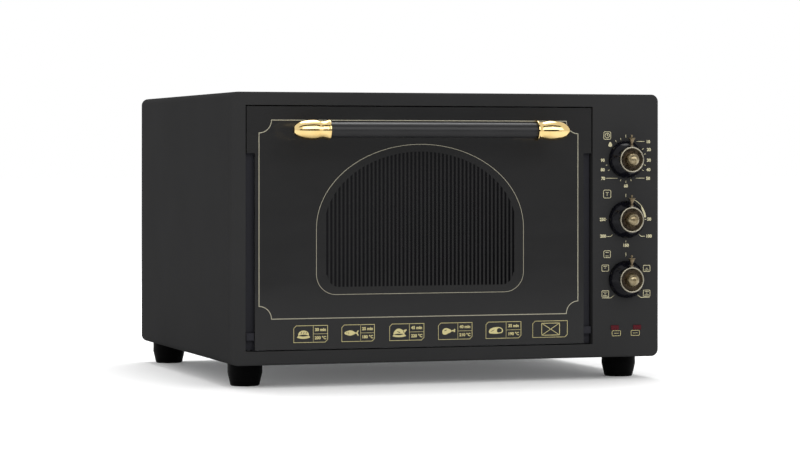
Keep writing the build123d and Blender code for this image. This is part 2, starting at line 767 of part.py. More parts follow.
def handle_cap(side):
    rim_x = door_middle + side * (handle_half_length - cap_length)
    leg_centre = door_middle + side * (handle_half_length - leg_inset)

    # A point of the cap's outline: so far out from its rim, so far from the handle's axis
    def on(along, radius):
        return (rim_x + side * along, handle_z + radius)

    with BuildPart() as cap:
        with BuildSketch(Plane(origin=(0, handle_y, 0), x_dir=(1, 0, 0), z_dir=(0, -1, 0))):
            with BuildLine():
                Polyline(on(0, 0), on(0, cap_rim_radius), on(sheet, cap_rim_radius))
                Spline(
                    on(sheet, cap_rim_radius),
                    *[on(cap_length * along, cap_radius * swell) for along, swell in cap_outline],
                    on(cap_length, cap_end_radius),
                    tangents=((side, -1), (0, -1)),
                    tangent_scalars=(cap_turn, cap_turn),
                )
                Polyline(on(cap_length, cap_end_radius), on(cap_length, 0), on(0, 0))
            make_face()
        revolve(axis=Axis((0, handle_y, handle_z), (1, 0, 0)))
        rod_y(leg_centre, (handle_y, front + glass_front), handle_z, leg_radius)
        with Locations(Location((leg_centre, front + glass_front - leg_foot_height / 2, handle_z), (90, 0, 0))):
            Cone(leg_foot_radius, leg_radius, leg_foot_height)
        rod_x(
            sorted((rim_x, rim_x + side * cap_socket_depth)), handle_y, handle_z,
            handle_bar_radius + handle_fit, Mode.SUBTRACT,
        )
        rod_y(
            leg_centre, (front + glass_front - foot_recess, front + glass_front), handle_z,
            foot_screw_radius + screw_play, Mode.SUBTRACT,
        )
    return cap


keep(handle_cap(-1), "handle_cap_left")
keep(handle_cap(1), "handle_cap_right")

leg_screw_seat = glass_back + door_sheet
with BuildPart() as handle_screws:
    for x in leg_x:
        rod_y(x, (front - foot_recess / 2, leg_screw_seat), handle_z, foot_screw_radius)
        rod_y(x, (leg_screw_seat, leg_screw_seat + screw_head_height), handle_z, foot_screw_head)
keep(handle_screws, "handle_screws")

# Knobs: a black hollow skirt, a plated dish with its crown pointer, and a plated dome in the dish
skirt_back = front - knob_gap
skirt_front = front - knob_neck_reach
dish_front = front - dish_reach
dish_floor = dish_front + dish_depth
dome_front = front - dome_reach
crown_y = (skirt_front + dish_front) / 2


# Half-section plane of a knob: local X is depth, local Y is the distance from the knob's axis
def knob_section(level):
    return Plane(origin=(panel_middle, 0, level), x_dir=(0, 1, 0), z_dir=(1, 0, 0))


def knob_axis(level):
    return Axis((panel_middle, 0, level), (0, 1, 0))


def knob_skirt(level):
    edge_y = skirt_back - skirt_edge
    hollow_radius = skirt_radius - knob_wall
    with BuildPart() as skirt:
        with BuildSketch(knob_section(level)):
            with BuildLine():
                Polyline((edge_y, 0), (edge_y, hollow_radius), (skirt_back, hollow_radius))
                Polyline((skirt_back, hollow_radius), (skirt_back, skirt_radius), (edge_y, skirt_radius))
                Spline(
                    (edge_y, skirt_radius),
                    (edge_y - (edge_y - skirt_front) * 0.55, skirt_radius * 0.84),
                    (skirt_front, knob_neck_radius),
                    tangents=((-1, -0.15), (-0.35, -1)),
                )
                Polyline((skirt_front, knob_neck_radius), (skirt_front, 0), (edge_y, 0))
            make_face()
        revolve(axis=knob_axis(level))
        rod_y(
            panel_middle, (front - shaft_reach - seat_gap, front), level,
            shaft_radius + shaft_fit, Mode.SUBTRACT,
        )
    return skirt


# The dish has a rounded rim, and the pointer on its edge is turned like a watch's crown
def knob_dish(level):
    rim_start = dish_front + dish_rim / 2
    foot = dish_radius - dish_rim / 2
    collar_top = dish_radius + crown_collar_height
    ball_base = crown_reach - crown_ball_height
    stem_top = ball_base - crown_step
    stem_base = stem_top - crown_stem_height
    plate_top = stem_base - crown_bevel
    plate_base = plate_top - crown_plate_thickness
    stem, collar = crown_neck_radius * 0.6, crown_neck_radius * 1.4
    with BuildPart() as dish:
        with BuildSketch(knob_section(level)):
            with BuildLine():
                Polyline(
                    (dish_floor, 0),
                    (skirt_front, 0),
                    (skirt_front, knob_neck_radius + sheet),
                    (skirt_front - dish_rim / 2, dish_radius),
                    (rim_start, dish_radius),
                )
                ThreePointArc(
                    (rim_start, dish_radius),
                    (dish_front, dish_radius - dish_rim / 2),
                    (rim_start, dish_radius - dish_rim),
                )
                Polyline(
                    (rim_start, dish_radius - dish_rim),
                    (dish_floor, dish_radius - 1.5 * dish_rim),
                    (dish_floor, 0),
                )
            make_face()
        revolve(axis=knob_axis(level))
        with BuildSketch(Plane(origin=(panel_middle, crown_y, level), x_dir=(1, 0, 0), z_dir=(0, -1, 0))):
            with BuildLine():
                Polyline(
                    (0, foot), (collar, foot), (collar, collar_top),
                    (crown_neck_radius, collar_top + crown_step),
                    (crown_neck_radius, collar_top + crown_step + crown_neck_height),
                    (crown_plate_radius * 0.85, plate_base - crown_step),
                    (crown_plate_radius, plate_base), (crown_plate_radius, plate_top),
                    (stem, stem_base), (stem, stem_top), (crown_neck_radius, ball_base),
                    (crown_neck_radius, crown_reach - crown_ball_round),
                    (crown_neck_radius / 2, crown_reach), (0, crown_reach),
                )
                Line((0, crown_reach), (0, foot))
            make_face()
        revolve(axis=Axis((panel_middle, crown_y, level), (0, 0, 1)))
    return dish


def knob_dome(level):
    with BuildPart() as dome:
        with BuildSketch(knob_section(level)):
            with BuildLine():
                Polyline((dome_front, 0), (dish_floor - dome_gap, 0), (dish_floor - dome_gap, dome_radius))
                Spline(
                    (dish_floor - dome_gap, dome_radius),
                    ((dish_floor + dome_front) / 2, dome_radius * 0.9),
                    (dome_front, 0),
                    tangents=((-1, 0), (0, -1)),
                )
            make_face()
        revolve(axis=knob_axis(level))
    return dome


# Control bodies on the panel's back, their shafts and the two screws that hold each
mount_face = front + fascia_skin


def control_shaft(level):
    with BuildPart() as shaft:
        rod_y(panel_middle, (front - shaft_reach, mount_face + shaft_depth), level, shaft_radius)
        chamfer(shaft.edges(), sheet / 4)
    return shaft


def shaft_bore(level):
    rod_y(
        panel_middle, (mount_face, mount_face + shaft_depth + seat_gap), level,
        shaft_radius + shaft_fit, Mode.SUBTRACT,
    )


def screw_bores(level):
    for side in (-1, 1):
        rod_y(
            panel_middle + side * control_screw_spread, (mount_face, mount_face + 2 * fascia_skin + seat_gap),
            level, screw_radius + screw_play, Mode.SUBTRACT,
        )


for name, level in zip(("timer", "thermostat", "selector"), knob_levels):
    keep(knob_skirt(level), f"{name}_knob_skirt")
    keep(knob_dish(level), f"{name}_knob_dish")
    keep(knob_dome(level), f"{name}_knob_dome")
    keep(control_shaft(level), f"{name}_shaft")

with BuildPart() as timer:
    rod_y(panel_middle, (mount_face, mount_face + timer_depth), timer_z, timer_radius)
    shaft_bore(timer_z)
    screw_bores(timer_z)
keep(timer, "timer")

with BuildPart() as thermostat:
    block(
        (panel_middle - thermostat_width / 2, panel_middle + thermostat_width / 2),
        (mount_face, mount_face + thermostat_depth),
        (thermostat_z - thermostat_height / 2, thermostat_z + thermostat_height / 2),
    )
    fillet(thermostat.edges().filter_by(Axis.Y), 2 * sheet)
    shaft_bore(thermostat_z)
    screw_bores(thermostat_z)
keep(thermostat, "thermostat")

with BuildPart() as selector_switch:
    block(
        (panel_middle - selector_size / 2, panel_middle + selector_size / 2),
        (mount_face, mount_face + selector_depth),
        (selector_z - selector_size / 2, selector_z + selector_size / 2),
    )
    fillet(selector_switch.edges().filter_by(Axis.Y), 3 * sheet)
    shaft_bore(selector_z)
    screw_bores(selector_z)
keep(selector_switch, "selector_switch")

with BuildPart() as control_screws:
    for level in knob_levels:
        for side in (-1, 1):
            x = panel_middle + side * control_screw_spread
            rod_y(x, (front, mount_face + 2 * fascia_skin), level, screw_radius)
            rod_y(x, (front - screw_head_height, front), level, screw_head_radius)
keep(control_screws, "control_screws")

# Thermostat's sensing bulb in the cavity, with its capillary out through the wall to the body
capillary_x = partition_x[1] + 4 * capillary_radius
capillary_end = mount_face + thermostat_depth
bulb_x = cavity_right - rail_stand_off
with BuildPart() as thermostat_bulb:
    rod_y(bulb_x, (bulb_y - bulb_length, bulb_y), bulb_z, bulb_radius)
    with BuildLine() as capillary_route:
        FilletPolyline(
            (bulb_x, capillary_y, bulb_z),
            (capillary_x, capillary_y, bulb_z),
            (capillary_x, capillary_y, thermostat_z),
            (capillary_x, capillary_end + loom_bend, thermostat_z),
            (panel_middle, capillary_end + loom_bend, thermostat_z),
            (panel_middle, capillary_end, thermostat_z),
            radius=6 * capillary_radius,
        )
    with BuildSketch(Plane(origin=capillary_route.line @ 0, z_dir=capillary_route.line % 0)):
        Circle(capillary_radius)
    sweep(path=capillary_route.line)
keep(thermostat_bulb, "thermostat_bulb")

# Two pilot lamps: red lenses in the panel and the neon bulbs behind them
with BuildPart() as lamp_lenses:
    for x, z in lamp_places:
        block(
            (x - lens_width / 2, x + lens_width / 2), (front - lens_proud, mount_face),
            (z - lens_height / 2, z + lens_height / 2),
        )
        block(
            (x - lens_width / 2 - lens_flange, x + lens_width / 2 + lens_flange),
            (mount_face, mount_face + lens_flange),
            (z - lens_height / 2 - lens_flange, z + lens_height / 2 + lens_flange),
        )
keep(lamp_lenses, "lamp_lenses")

lamp_start = mount_face + lens_flange
with BuildPart() as pilot_lamps:
    for x, z in lamp_places:
        rod_y(x, (lamp_start, lamp_start + lamp_length), z, lamp_radius)
    fillet(pilot_lamps.edges().group_by(Axis.Y)[-1], lamp_radius / 2)
keep(pilot_lamps, "pilot_lamps")

# Mains side: the inlet gland in the back cover, the terminal block on the floor and the wiring
with BuildPart() as inlet_gland:
    rod_y(panel_middle, (rear_face, rear_face + gland_flange), bottom + gland_level, gland_radius * 1.4)
    fillet(inlet_gland.edges().group_by(Axis.Y)[-1], sheet)
    rod_y(panel_middle, (rear - 5 * sheet, rear_face), bottom + gland_level, gland_radius)
    rod_y(
        panel_middle, (rear - 5 * sheet, rear_face + gland_flange), bottom + gland_level,
        gland_bore, Mode.SUBTRACT,
    )
keep(inlet_gland, "inlet_gland")

block_y = rear - foot_rear_inset - foot_radius - 3 * block_size[1]
with BuildPart() as terminal_block:
    block(
        (panel_middle - block_size[0] / 2, panel_middle + block_size[0] / 2),
        (block_y, block_y + block_size[1]),
        (floor_top, floor_top + block_size[2]),
    )
    with BuildSketch(Plane.XY.offset(floor_top + block_size[2])):
        with Locations((panel_middle, block_y + block_size[1] / 2)):
            with GridLocations(block_size[0] / 3, block_size[1] / 2, 3, 2):
                Circle(1.5 * screw_radius)
    extrude(amount=-block_size[2] / 2, mode=Mode.SUBTRACT)
keep(terminal_block, "terminal_block")

loom_start = (panel_middle, block_y, floor_top + block_size[2] / 2)
loom_x = half_width - sheet - 3 * loom_radius
loom_y = mount_face + selector_depth + loom_bend
with BuildPart() as wiring_loom:
    with BuildLine() as loom_route:
        FilletPolyline(
            loom_start,
            (panel_middle, block_y - 2 * loom_bend, loom_start[2]),
            (loom_x, block_y - 4 * loom_bend, selector_z),
            (loom_x, loom_y + 2 * loom_bend, selector_z),
            (panel_middle, loom_y, selector_z),
            (panel_middle, loom_y - loom_bend, selector_z),
            radius=loom_bend / 2,
        )
    with BuildSketch(Plane(origin=loom_route.line @ 0, z_dir=loom_route.line % 0)):
        Circle(loom_radius)
    sweep(path=loom_route.line)
keep(wiring_loom, "wiring_loom")

# Four moulded feet, each held by a screw from below
with BuildPart() as feet:
    for x, y in foot_places:
        with BuildSketch(Plane(origin=(x, y, 0), x_dir=(1, 0, 0), z_dir=(0, -1, 0))):
            with BuildLine():
                Polyline(
                    (foot_recess / 2 - sheet, 0),
                    (foot_base_radius - sheet, 0),
                    (foot_base_radius, sheet),
                    (foot_radius, foot_height - foot_straight),
                    (foot_radius, foot_height),
                    (foot_screw_radius + screw_play, foot_height),
                    (foot_screw_radius + screw_play, foot_recess),
                    (foot_recess / 2 - sheet, foot_recess),
                    close=True,
                )
            make_face()
        revolve(axis=Axis((x, y, 0), (0, 0, 1)))
keep(feet, "feet")

with BuildPart() as foot_screws:
    with Locations(*[(x, y, foot_recess - screw_head_height) for x, y in foot_places]):
        Cylinder(foot_screw_head, screw_head_height, align=(Align.CENTER, Align.CENTER, Align.MIN))
    with Locations(*[(x, y, foot_recess) for x, y in foot_places]):
        Cylinder(
            foot_screw_radius, floor_top + sheet - foot_recess, align=(Align.CENTER, Align.CENTER, Align.MIN)
        )
keep(foot_screws, "foot_screws")
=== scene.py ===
import bpy
import math
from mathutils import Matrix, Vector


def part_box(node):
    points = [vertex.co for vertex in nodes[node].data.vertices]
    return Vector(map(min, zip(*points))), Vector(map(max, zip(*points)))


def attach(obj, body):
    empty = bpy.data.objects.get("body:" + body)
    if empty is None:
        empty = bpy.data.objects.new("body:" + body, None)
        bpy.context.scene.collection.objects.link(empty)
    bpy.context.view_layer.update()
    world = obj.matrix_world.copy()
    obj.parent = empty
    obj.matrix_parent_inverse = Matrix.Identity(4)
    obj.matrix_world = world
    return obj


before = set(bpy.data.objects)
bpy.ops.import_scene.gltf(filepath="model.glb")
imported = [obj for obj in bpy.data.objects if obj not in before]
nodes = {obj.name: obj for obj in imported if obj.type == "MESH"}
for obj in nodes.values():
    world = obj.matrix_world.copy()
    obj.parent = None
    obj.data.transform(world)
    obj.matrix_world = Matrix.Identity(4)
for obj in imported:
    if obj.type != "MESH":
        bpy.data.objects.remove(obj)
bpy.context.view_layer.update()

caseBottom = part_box("case_wrap")[0].z
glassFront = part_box("outer_glass")[0].y
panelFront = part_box("control_panel")[0].y
knobMiddle = (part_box("timer_knob_skirt")[0].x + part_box("timer_knob_skirt")[1].x) / 2


def middleHeight(node):
    low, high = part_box(node)
    return (low.z + high.z) / 2


def deselectAll():
    bpy.ops.object.select_all(action="DESELECT")
    bpy.context.view_layer.objects.active = None


# finishes
# the band that most of a noise's values lie in, and the narrower one a coating's clouds are drawn from
noiseBand = (0.3, 0.7)
cloudBand = (0.35, 0.65)
# a brushed metal's least and greatest roughness, as shares of its own
brushedShares = (0.75, 1.3)


def newFinish(name, colour, roughness, metallic=0.0, specular=0.5):
    material = bpy.data.materials.new(name)
    material.use_nodes = True
    tree = material.node_tree
    shader = tree.nodes["Principled BSDF"]
    shader.inputs["Base Color"].default_value = (*colour, 1)
    shader.inputs["Roughness"].default_value = roughness
    shader.inputs["Metallic"].default_value = metallic
    shader.inputs["Specular IOR Level"].default_value = specular
    material.diffuse_color = (*colour, 1)
    return material, tree, shader


def objectNoise(tree, scale, stretch=(1, 1, 1), detail=4.0, texture="ShaderNodeTexNoise"):
    coords = tree.nodes.new("ShaderNodeTexCoord")
    mapping = tree.nodes.new("ShaderNodeMapping")
    mapping.inputs["Scale"].default_value = stretch
    noise = tree.nodes.new(texture)
    noise.inputs["Scale"].default_value = scale
    if "Detail" in noise.inputs:
        noise.inputs["Detail"].default_value = detail
    tree.links.new(coords.outputs["Object"], mapping.inputs["Vector"])
    tree.links.new(mapping.outputs["Vector"], noise.inputs["Vector"])
    return noise


def addBump(tree, shader, noise, strength, distance):
    bump = tree.nodes.new("ShaderNodeBump")
    bump.inputs["Strength"].default_value = strength
    bump.inputs["Distance"].default_value = distance
    tree.links.new(noise.outputs[0], bump.inputs["Height"])
    tree.links.new(bump.outputs["Normal"], shader.inputs["Normal"])


def varyRoughness(tree, shader, noise, low, high):
    spread = tree.nodes.new("ShaderNodeMapRange")
    spread.inputs["From Min"].default_value = noiseBand[0]
    spread.inputs["From Max"].default_value = noiseBand[1]
    spread.inputs["To Min"].default_value = low
    spread.inputs["To Max"].default_value = high
    tree.links.new(noise.outputs[0], spread.inputs["Value"])
    tree.links.new(spread.outputs["Result"], shader.inputs["Roughness"])


def wearRoughness(tree, shader, noise, roughness, shares):
    varyRoughness(tree, shader, noise, roughness * shares[0], roughness * shares[1])


def varyColour(tree, shader, noise, stops):
    ramp = tree.nodes.new("ShaderNodeValToRGB")
    ramp.color_ramp.elements[0].position = stops[0][0]
    ramp.color_ramp.elements[0].color = (*stops[0][1], 1)
    ramp.color_ramp.elements[1].position = stops[-1][0]
    ramp.color_ramp.elements[1].color = (*stops[-1][1], 1)
    for place, colour in stops[1:-1]:
        ramp.color_ramp.elements.new(place).color = (*colour, 1)
    tree.links.new(noise.outputs[0], ramp.inputs["Fac"])
    tree.links.new(ramp.outputs["Color"], shader.inputs["Base Color"])


def powderCoat(name, look):
    material, tree, shader = newFinish(name, look["colour"], look["roughness"], specular=look["specular"])
    grain = objectNoise(tree, look["grainScale"], detail=2.0)
    addBump(tree, shader, grain, look["grainStrength"], look["grainDepth"])
    cloud = objectNoise(tree, look["cloudScale"])
    smoothest = look["roughness"] - look["spread"]
    roughest = look["roughness"] + look["spread"]
    varyRoughness(tree, shader, cloud, smoothest, roughest)
    low = tuple(c * look["darker"] for c in look["colour"])
    high = tuple(c * look["lighter"] for c in look["colour"])
    varyColour(tree, shader, cloud, [(cloudBand[0], low), (cloudBand[1], high)])
    return material


bodyPaintLook = {"colour": (0.03, 0.03, 0.0304), "roughness": 0.64, "specular": 0.0, "spread": 0.04,
                 "grainScale": 1500, "grainStrength": 0.25, "grainDepth": 0.0002, "cloudScale": 9,
                 "darker": 0.97, "lighter": 1.03}
# the door pan's paint is darker than the body paint: painted shade for the door's recessed side channels
doorPaintLook = {"colour": (0.02, 0.02, 0.0245), "roughness": 0.55, "specular": 0.06, "spread": 0.06,
                 "grainScale": 1300, "grainStrength": 0.2, "grainDepth": 0.0002, "cloudScale": 12,
                 "darker": 0.92, "lighter": 1.08}
handleBlackLook = {"colour": (0.0145, 0.0145, 0.0154), "roughness": 0.36, "specular": 0.2, "spread": 0.04,
                   "grainScale": 1800, "grainStrength": 0.16, "grainDepth": 0.00015, "cloudScale": 20,
                   "darker": 0.93, "lighter": 1.07}
blackPlasticLook = {"colour": (0.0014, 0.0014, 0.0015), "roughness": 0.58, "specular": 0.03, "spread": 0.08,
                    "grainScale": 900, "grainStrength": 0.3, "grainDepth": 0.0003, "cloudScale": 25,
                    "darker": 0.85, "lighter": 1.15}
whitePlasticLook = {"colour": (0.78, 0.78, 0.75), "roughness": 0.4, "specular": 0.45, "spread": 0.05,
                    "grainScale": 900, "grainStrength": 0.12, "grainDepth": 0.0002, "cloudScale": 30,
                    "darker": 0.97, "lighter": 1.02}
phenolicLook = {"colour": (0.1, 0.095, 0.09), "roughness": 0.5, "specular": 0.4, "spread": 0.08,
                "grainScale": 700, "grainStrength": 0.25, "grainDepth": 0.0003, "cloudScale": 60,
                "darker": 0.85, "lighter": 1.15}
sealLook = {"colour": (0.04, 0.04, 0.042), "roughness": 0.68, "specular": 0.3, "spread": 0.06,
            "grainScale": 600, "grainStrength": 0.3, "grainDepth": 0.0004, "cloudScale": 50,
            "darker": 0.85, "lighter": 1.15}
ceramicLook = {"colour": (0.84, 0.81, 0.74), "roughness": 0.7, "specular": 0.35, "spread": 0.06,
               "grainScale": 1200, "grainStrength": 0.35, "grainDepth": 0.0003, "cloudScale": 80,
               "darker": 0.93, "lighter": 1.04}


# float glass, painted on its back, with the faintest wipe marks
doorGlassLook = {"colour": (0.0225, 0.0225, 0.0228), "roughness": 0.11, "specular": 0.1,
                 "wipeScale": 14, "wipeStretch": (1, 1, 3.5), "wipeDetail": 5.0,
                 "smoothest": 0.07, "roughest": 0.15,
                 "stops": [(0.3, (0.022, 0.022, 0.0223)), (0.7, (0.023, 0.023, 0.0233))],
                 "rippleScale": 5, "rippleStrength": 0.05, "rippleDepth": 0.0006}


def lacqueredGlass():
    look = doorGlassLook
    material, tree, shader = newFinish("door_glass", look["colour"], look["roughness"],
                                       specular=look["specular"])
    wipes = objectNoise(tree, look["wipeScale"], look["wipeStretch"], look["wipeDetail"])
    varyRoughness(tree, shader, wipes, look["smoothest"], look["roughest"])
    varyColour(tree, shader, wipes, look["stops"])
    ripple = objectNoise(tree, look["rippleScale"], detail=1.0)
    addBump(tree, shader, ripple, look["rippleStrength"], look["rippleDepth"])
    return material


def metalFinish(name, look):
    material, tree, shader = newFinish(name, look["colour"], look["roughness"], metallic=1.0)
    brush = objectNoise(tree, look["brushScale"], look["stretch"])
    wearRoughness(tree, shader, brush, look["roughness"], brushedShares)
    addBump(tree, shader, brush, look["bumpStrength"], look["bumpDepth"])
    stain = objectNoise(tree, look["stainScale"])
    varyColour(tree, shader, stain, look["stops"])
    return material


goldPlateLook = {"colour": (0.76, 0.56, 0.24), "roughness": 0.1, "brushScale": 160, "stretch": (1, 1, 1),
                 "bumpStrength": 0.04, "bumpDepth": 0.0002, "stainScale": 45,
                 "stops": [(0.3, (0.72, 0.51, 0.2)), (0.7, (0.8, 0.61, 0.29))]}
bronzeLook = {"colour": (0.42, 0.35, 0.24), "roughness": 0.26, "brushScale": 420, "stretch": (1, 1, 1),
              "bumpStrength": 0.25, "bumpDepth": 0.0003, "stainScale": 150,
              "stops": [(0.3, (0.09, 0.068, 0.04)), (0.48, (0.2, 0.16, 0.095)), (0.72, (0.34, 0.29, 0.19))]}
brassLook = {"colour": (0.62, 0.49, 0.26), "roughness": 0.26, "brushScale": 500, "stretch": (1, 6, 1),
             "bumpStrength": 0.15, "bumpDepth": 0.0002, "stainScale": 70,
             "stops": [(0.3, (0.52, 0.4, 0.2)), (0.7, (0.68, 0.55, 0.32))]}
zincLook = {"colour": (0.33, 0.34, 0.35), "roughness": 0.38, "brushScale": 240, "stretch": (1, 1, 1),
            "bumpStrength": 0.08, "bumpDepth": 0.0003, "stainScale": 60,
            "stops": [(0.25, (0.26, 0.27, 0.28)), (0.5, (0.33, 0.34, 0.35)), (0.75, (0.39, 0.4, 0.41))]}
heatSteelLook = {"colour": (0.34, 0.31, 0.28), "roughness": 0.42, "brushScale": 500, "stretch": (1, 1, 1),
                 "bumpStrength": 0.15, "bumpDepth": 0.0002, "stainScale": 22,
                 "stops": [(0.3, (0.26, 0.24, 0.26)), (0.5, (0.36, 0.31, 0.25)), (0.7, (0.42, 0.36, 0.28))]}
chromeLook = {"colour": (0.8, 0.8, 0.82), "roughness": 0.1, "brushScale": 300, "stretch": (1, 1, 1),
              "bumpStrength": 0.03, "bumpDepth": 0.0002, "stainScale": 30,
              "stops": [(0.3, (0.76, 0.76, 0.78)), (0.7, (0.82, 0.82, 0.84))]}
screwSteelLook = {"colour": (0.58, 0.58, 0.58), "roughness": 0.3, "brushScale": 800, "stretch": (1, 1, 1),
                  "bumpStrength": 0.15, "bumpDepth": 0.0002, "stainScale": 200,
                  "stops": [(0.3, (0.48, 0.48, 0.48)), (0.7, (0.66, 0.66, 0.65))]}
springSteelLook = {"colour": (0.5, 0.5, 0.52), "roughness": 0.34, "brushScale": 600, "stretch": (6, 1, 1),
                   "bumpStrength": 0.12, "bumpDepth": 0.0002, "stainScale": 90,
                   "stops": [(0.3, (0.42, 0.42, 0.44)), (0.7, (0.56, 0.56, 0.58))]}
copperLook = {"colour": (0.75, 0.42, 0.26), "roughness": 0.28, "brushScale": 500, "stretch": (1, 1, 1),
              "bumpStrength": 0.1, "bumpDepth": 0.0002, "stainScale": 60,
              "stops": [(0.3, (0.62, 0.32, 0.19)), (0.7, (0.8, 0.48, 0.31))]}


# antique plate on a knob, coloured by distance from its middle: a painted highlight on its rim and painted
# shade in its bowl, darkest just inside the rim
knobDishLook = {"colour": (0.3, 0.25, 0.17), "roughness": 0.3, "reach": 0.03, "wearScale": 260,
                "shares": (0.7, 1.4), "wearStrength": 0.12, "wearDepth": 0.0003,
                "stops": [(0.0, (0.1, 0.078, 0.05)), (0.26, (0.075, 0.056, 0.037)),
                          (0.4, (0.032, 0.024, 0.017)), (0.44, (0.06, 0.048, 0.034)),
                          (0.475, (0.32, 0.3, 0.24)), (0.54, (0.25, 0.23, 0.18)),
                          (0.6, (0.12, 0.09, 0.056)), (1.0, (0.2, 0.16, 0.1))]}


def dishWithPaintedShade(node):
    look = knobDishLook
    low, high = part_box(node.replace("_dish", "_dome"))
    material, tree, shader = newFinish(node + "_plate", look["colour"], look["roughness"], metallic=1.0)
    coords = tree.nodes.new("ShaderNodeTexCoord")
    mapping = tree.nodes.new("ShaderNodeMapping")
    mapping.inputs["Location"].default_value = (-(low.x + high.x) / 2, 0, -(low.z + high.z) / 2)
    mapping.inputs["Scale"].default_value = (1, 0, 1)
    away = tree.nodes.new("ShaderNodeVectorMath")
    away.operation = "LENGTH"
    share = tree.nodes.new("ShaderNodeMapRange")
    share.inputs["From Max"].default_value = look["reach"]
    tree.links.new(coords.outputs["Object"], mapping.inputs["Vector"])
    tree.links.new(mapping.outputs["Vector"], away.inputs[0])
    tree.links.new(away.outputs["Value"], share.inputs["Value"])
    # painted shade in the bowl and a painted highlight on the rim, by distance from the knob's middle
    varyColour(tree, shader, share, look["stops"])
    wear = objectNoise(tree, look["wearScale"])
    wearRoughness(tree, shader, wear, look["roughness"], look["shares"])
    addBump(tree, shader, wear, look["wearStrength"], look["wearDepth"])
    return material


# vitreous enamel: glassy, slightly wavy, with pale specks fired into it
enamelWave = {"scale": 120, "detail": 2.0, "strength": 0.12, "depth": 0.0004, "shares": (0.8, 1.3)}


def speckledEnamel(name, look):
    material, tree, shader = newFinish(name, look["colour"], look["roughness"])
    specks = objectNoise(tree, look["speckScale"], detail=0.0, texture="ShaderNodeTexVoronoi")
    varyColour(tree, shader, specks,
               [(0.0, look["speck"]), (look["speckSize"], look["colour"]), (1.0, look["colour"])])
    wave = objectNoise(tree, enamelWave["scale"], detail=enamelWave["detail"])
    addBump(tree, shader, wave, enamelWave["strength"], enamelWave["depth"])
    wearRoughness(tree, shader, wave, look["roughness"], enamelWave["shares"])
    return material


cavityEnamelLook = {"colour": (0.045, 0.05, 0.06), "speck": (0.45, 0.47, 0.5), "roughness": 0.22,
                    "speckScale": 520, "speckSize": 0.16}
trayEnamelLook = {"colour": (0.016, 0.016, 0.018), "speck": (0.2, 0.2, 0.22), "roughness": 0.16,
                  "speckScale": 600, "speckSize": 0.1}


def texturedFinish(name, look):
    # one noise drives whichever of the bump, the roughness and the colour the look gives
    material, tree, shader = newFinish(name, look["colour"], look["roughness"],
                                       look.get("metallic", 0.0), look.get("specular", 0.5))
    for socket, value in look.get("glass", {}).items():
        shader.inputs[socket].default_value = value
    noise = objectNoise(tree, look["scale"], look.get("stretch", (1, 1, 1)), look["detail"],
                        look.get("texture", "ShaderNodeTexNoise"))
    if "bump" in look:
        addBump(tree, shader, noise, *look["bump"])
    if "roughBetween" in look:
        varyRoughness(tree, shader, noise, *look["roughBetween"])
    if "stops" in look:
        varyColour(tree, shader, noise, look["stops"])
    return material


clearGlassLook = {"colour": (0.86, 0.9, 0.87), "roughness": 0.02,
                  "glass": {"Transmission Weight": 1.0, "IOR": 1.5},
                  "scale": 18, "stretch": (1, 3, 1), "detail": 5.0, "roughBetween": (0.01, 0.05)}
neonGlassLook = {"colour": (0.82, 0.55, 0.42), "roughness": 0.12, "glass": {"Transmission Weight": 0.6},
                 "scale": 400, "detail": 4.0, "roughBetween": (0.08, 0.2)}
redLensLook = {"colour": (0.06, 0.001, 0.004), "roughness": 0.25, "specular": 0.15,
               "scale": 1400, "detail": 0.0, "texture": "ShaderNodeTexVoronoi", "bump": (0.35, 0.0003),
               "stops": [(0.1, (0.042, 0.001, 0.003)), (0.7, (0.08, 0.002, 0.007))]}
woolLook = {"colour": (0.55, 0.49, 0.36), "roughness": 0.95, "specular": 0.1,
            "scale": 260, "stretch": (1, 1, 5), "detail": 9.0, "bump": (0.9, 0.002),
            "stops": [(0.3, (0.38, 0.33, 0.22)), (0.7, (0.66, 0.6, 0.46))]}
sleeveLook = {"colour": (0.6, 0.57, 0.49), "roughness": 0.8, "specular": 0.2,
              "scale": 1600, "detail": 0.0, "texture": "ShaderNodeTexVoronoi", "bump": (0.6, 0.0004),
              "stops": [(0.1, (0.68, 0.65, 0.57)), (0.8, (0.46, 0.43, 0.36))]}
knobGlossLook = {"colour": (0.0035, 0.0035, 0.0055), "roughness": 0.16, "specular": 0.16,
                 "scale": 60, "detail": 5.0, "roughBetween": (0.1, 0.2), "bump": (0.03, 0.0003)}

# screen-printed gold: a dull metallic ink with a slight grain
inkLook = {"roughness": 0.42, "metallic": 0.35, "specular": 0.4, "scale": 2500, "detail": 2.0,
           "bump": (0.15, 0.0001), "darker": 0.88, "lighter": 1.08}


def goldInk(name, colour):
    darker = tuple(c * inkLook["darker"] for c in colour)
    lighter = tuple(c * inkLook["lighter"] for c in colour)
    stops = [(noiseBand[0], darker), (noiseBand[1], lighter)]
    return texturedFinish(name, {**inkLook, "colour": colour, "stops": stops})


# the clear slots of the window print, painted near-black as painted shade for the dark oven seen through
# them; the painted shade is deeper at the lower right
slotLook = {"colour": (0.004, 0.004, 0.0045), "roughness": 0.12,
            "from": (0.6, 0, 0.25), "over": (2.6, 0, -2.6),
            "stops": [(0.0, (0.009, 0.009, 0.0098)), (1.0, (0.0006, 0.0006, 0.0008))],
            "smokeScale": 11, "smoothest": 0.08, "roughest": 0.2}


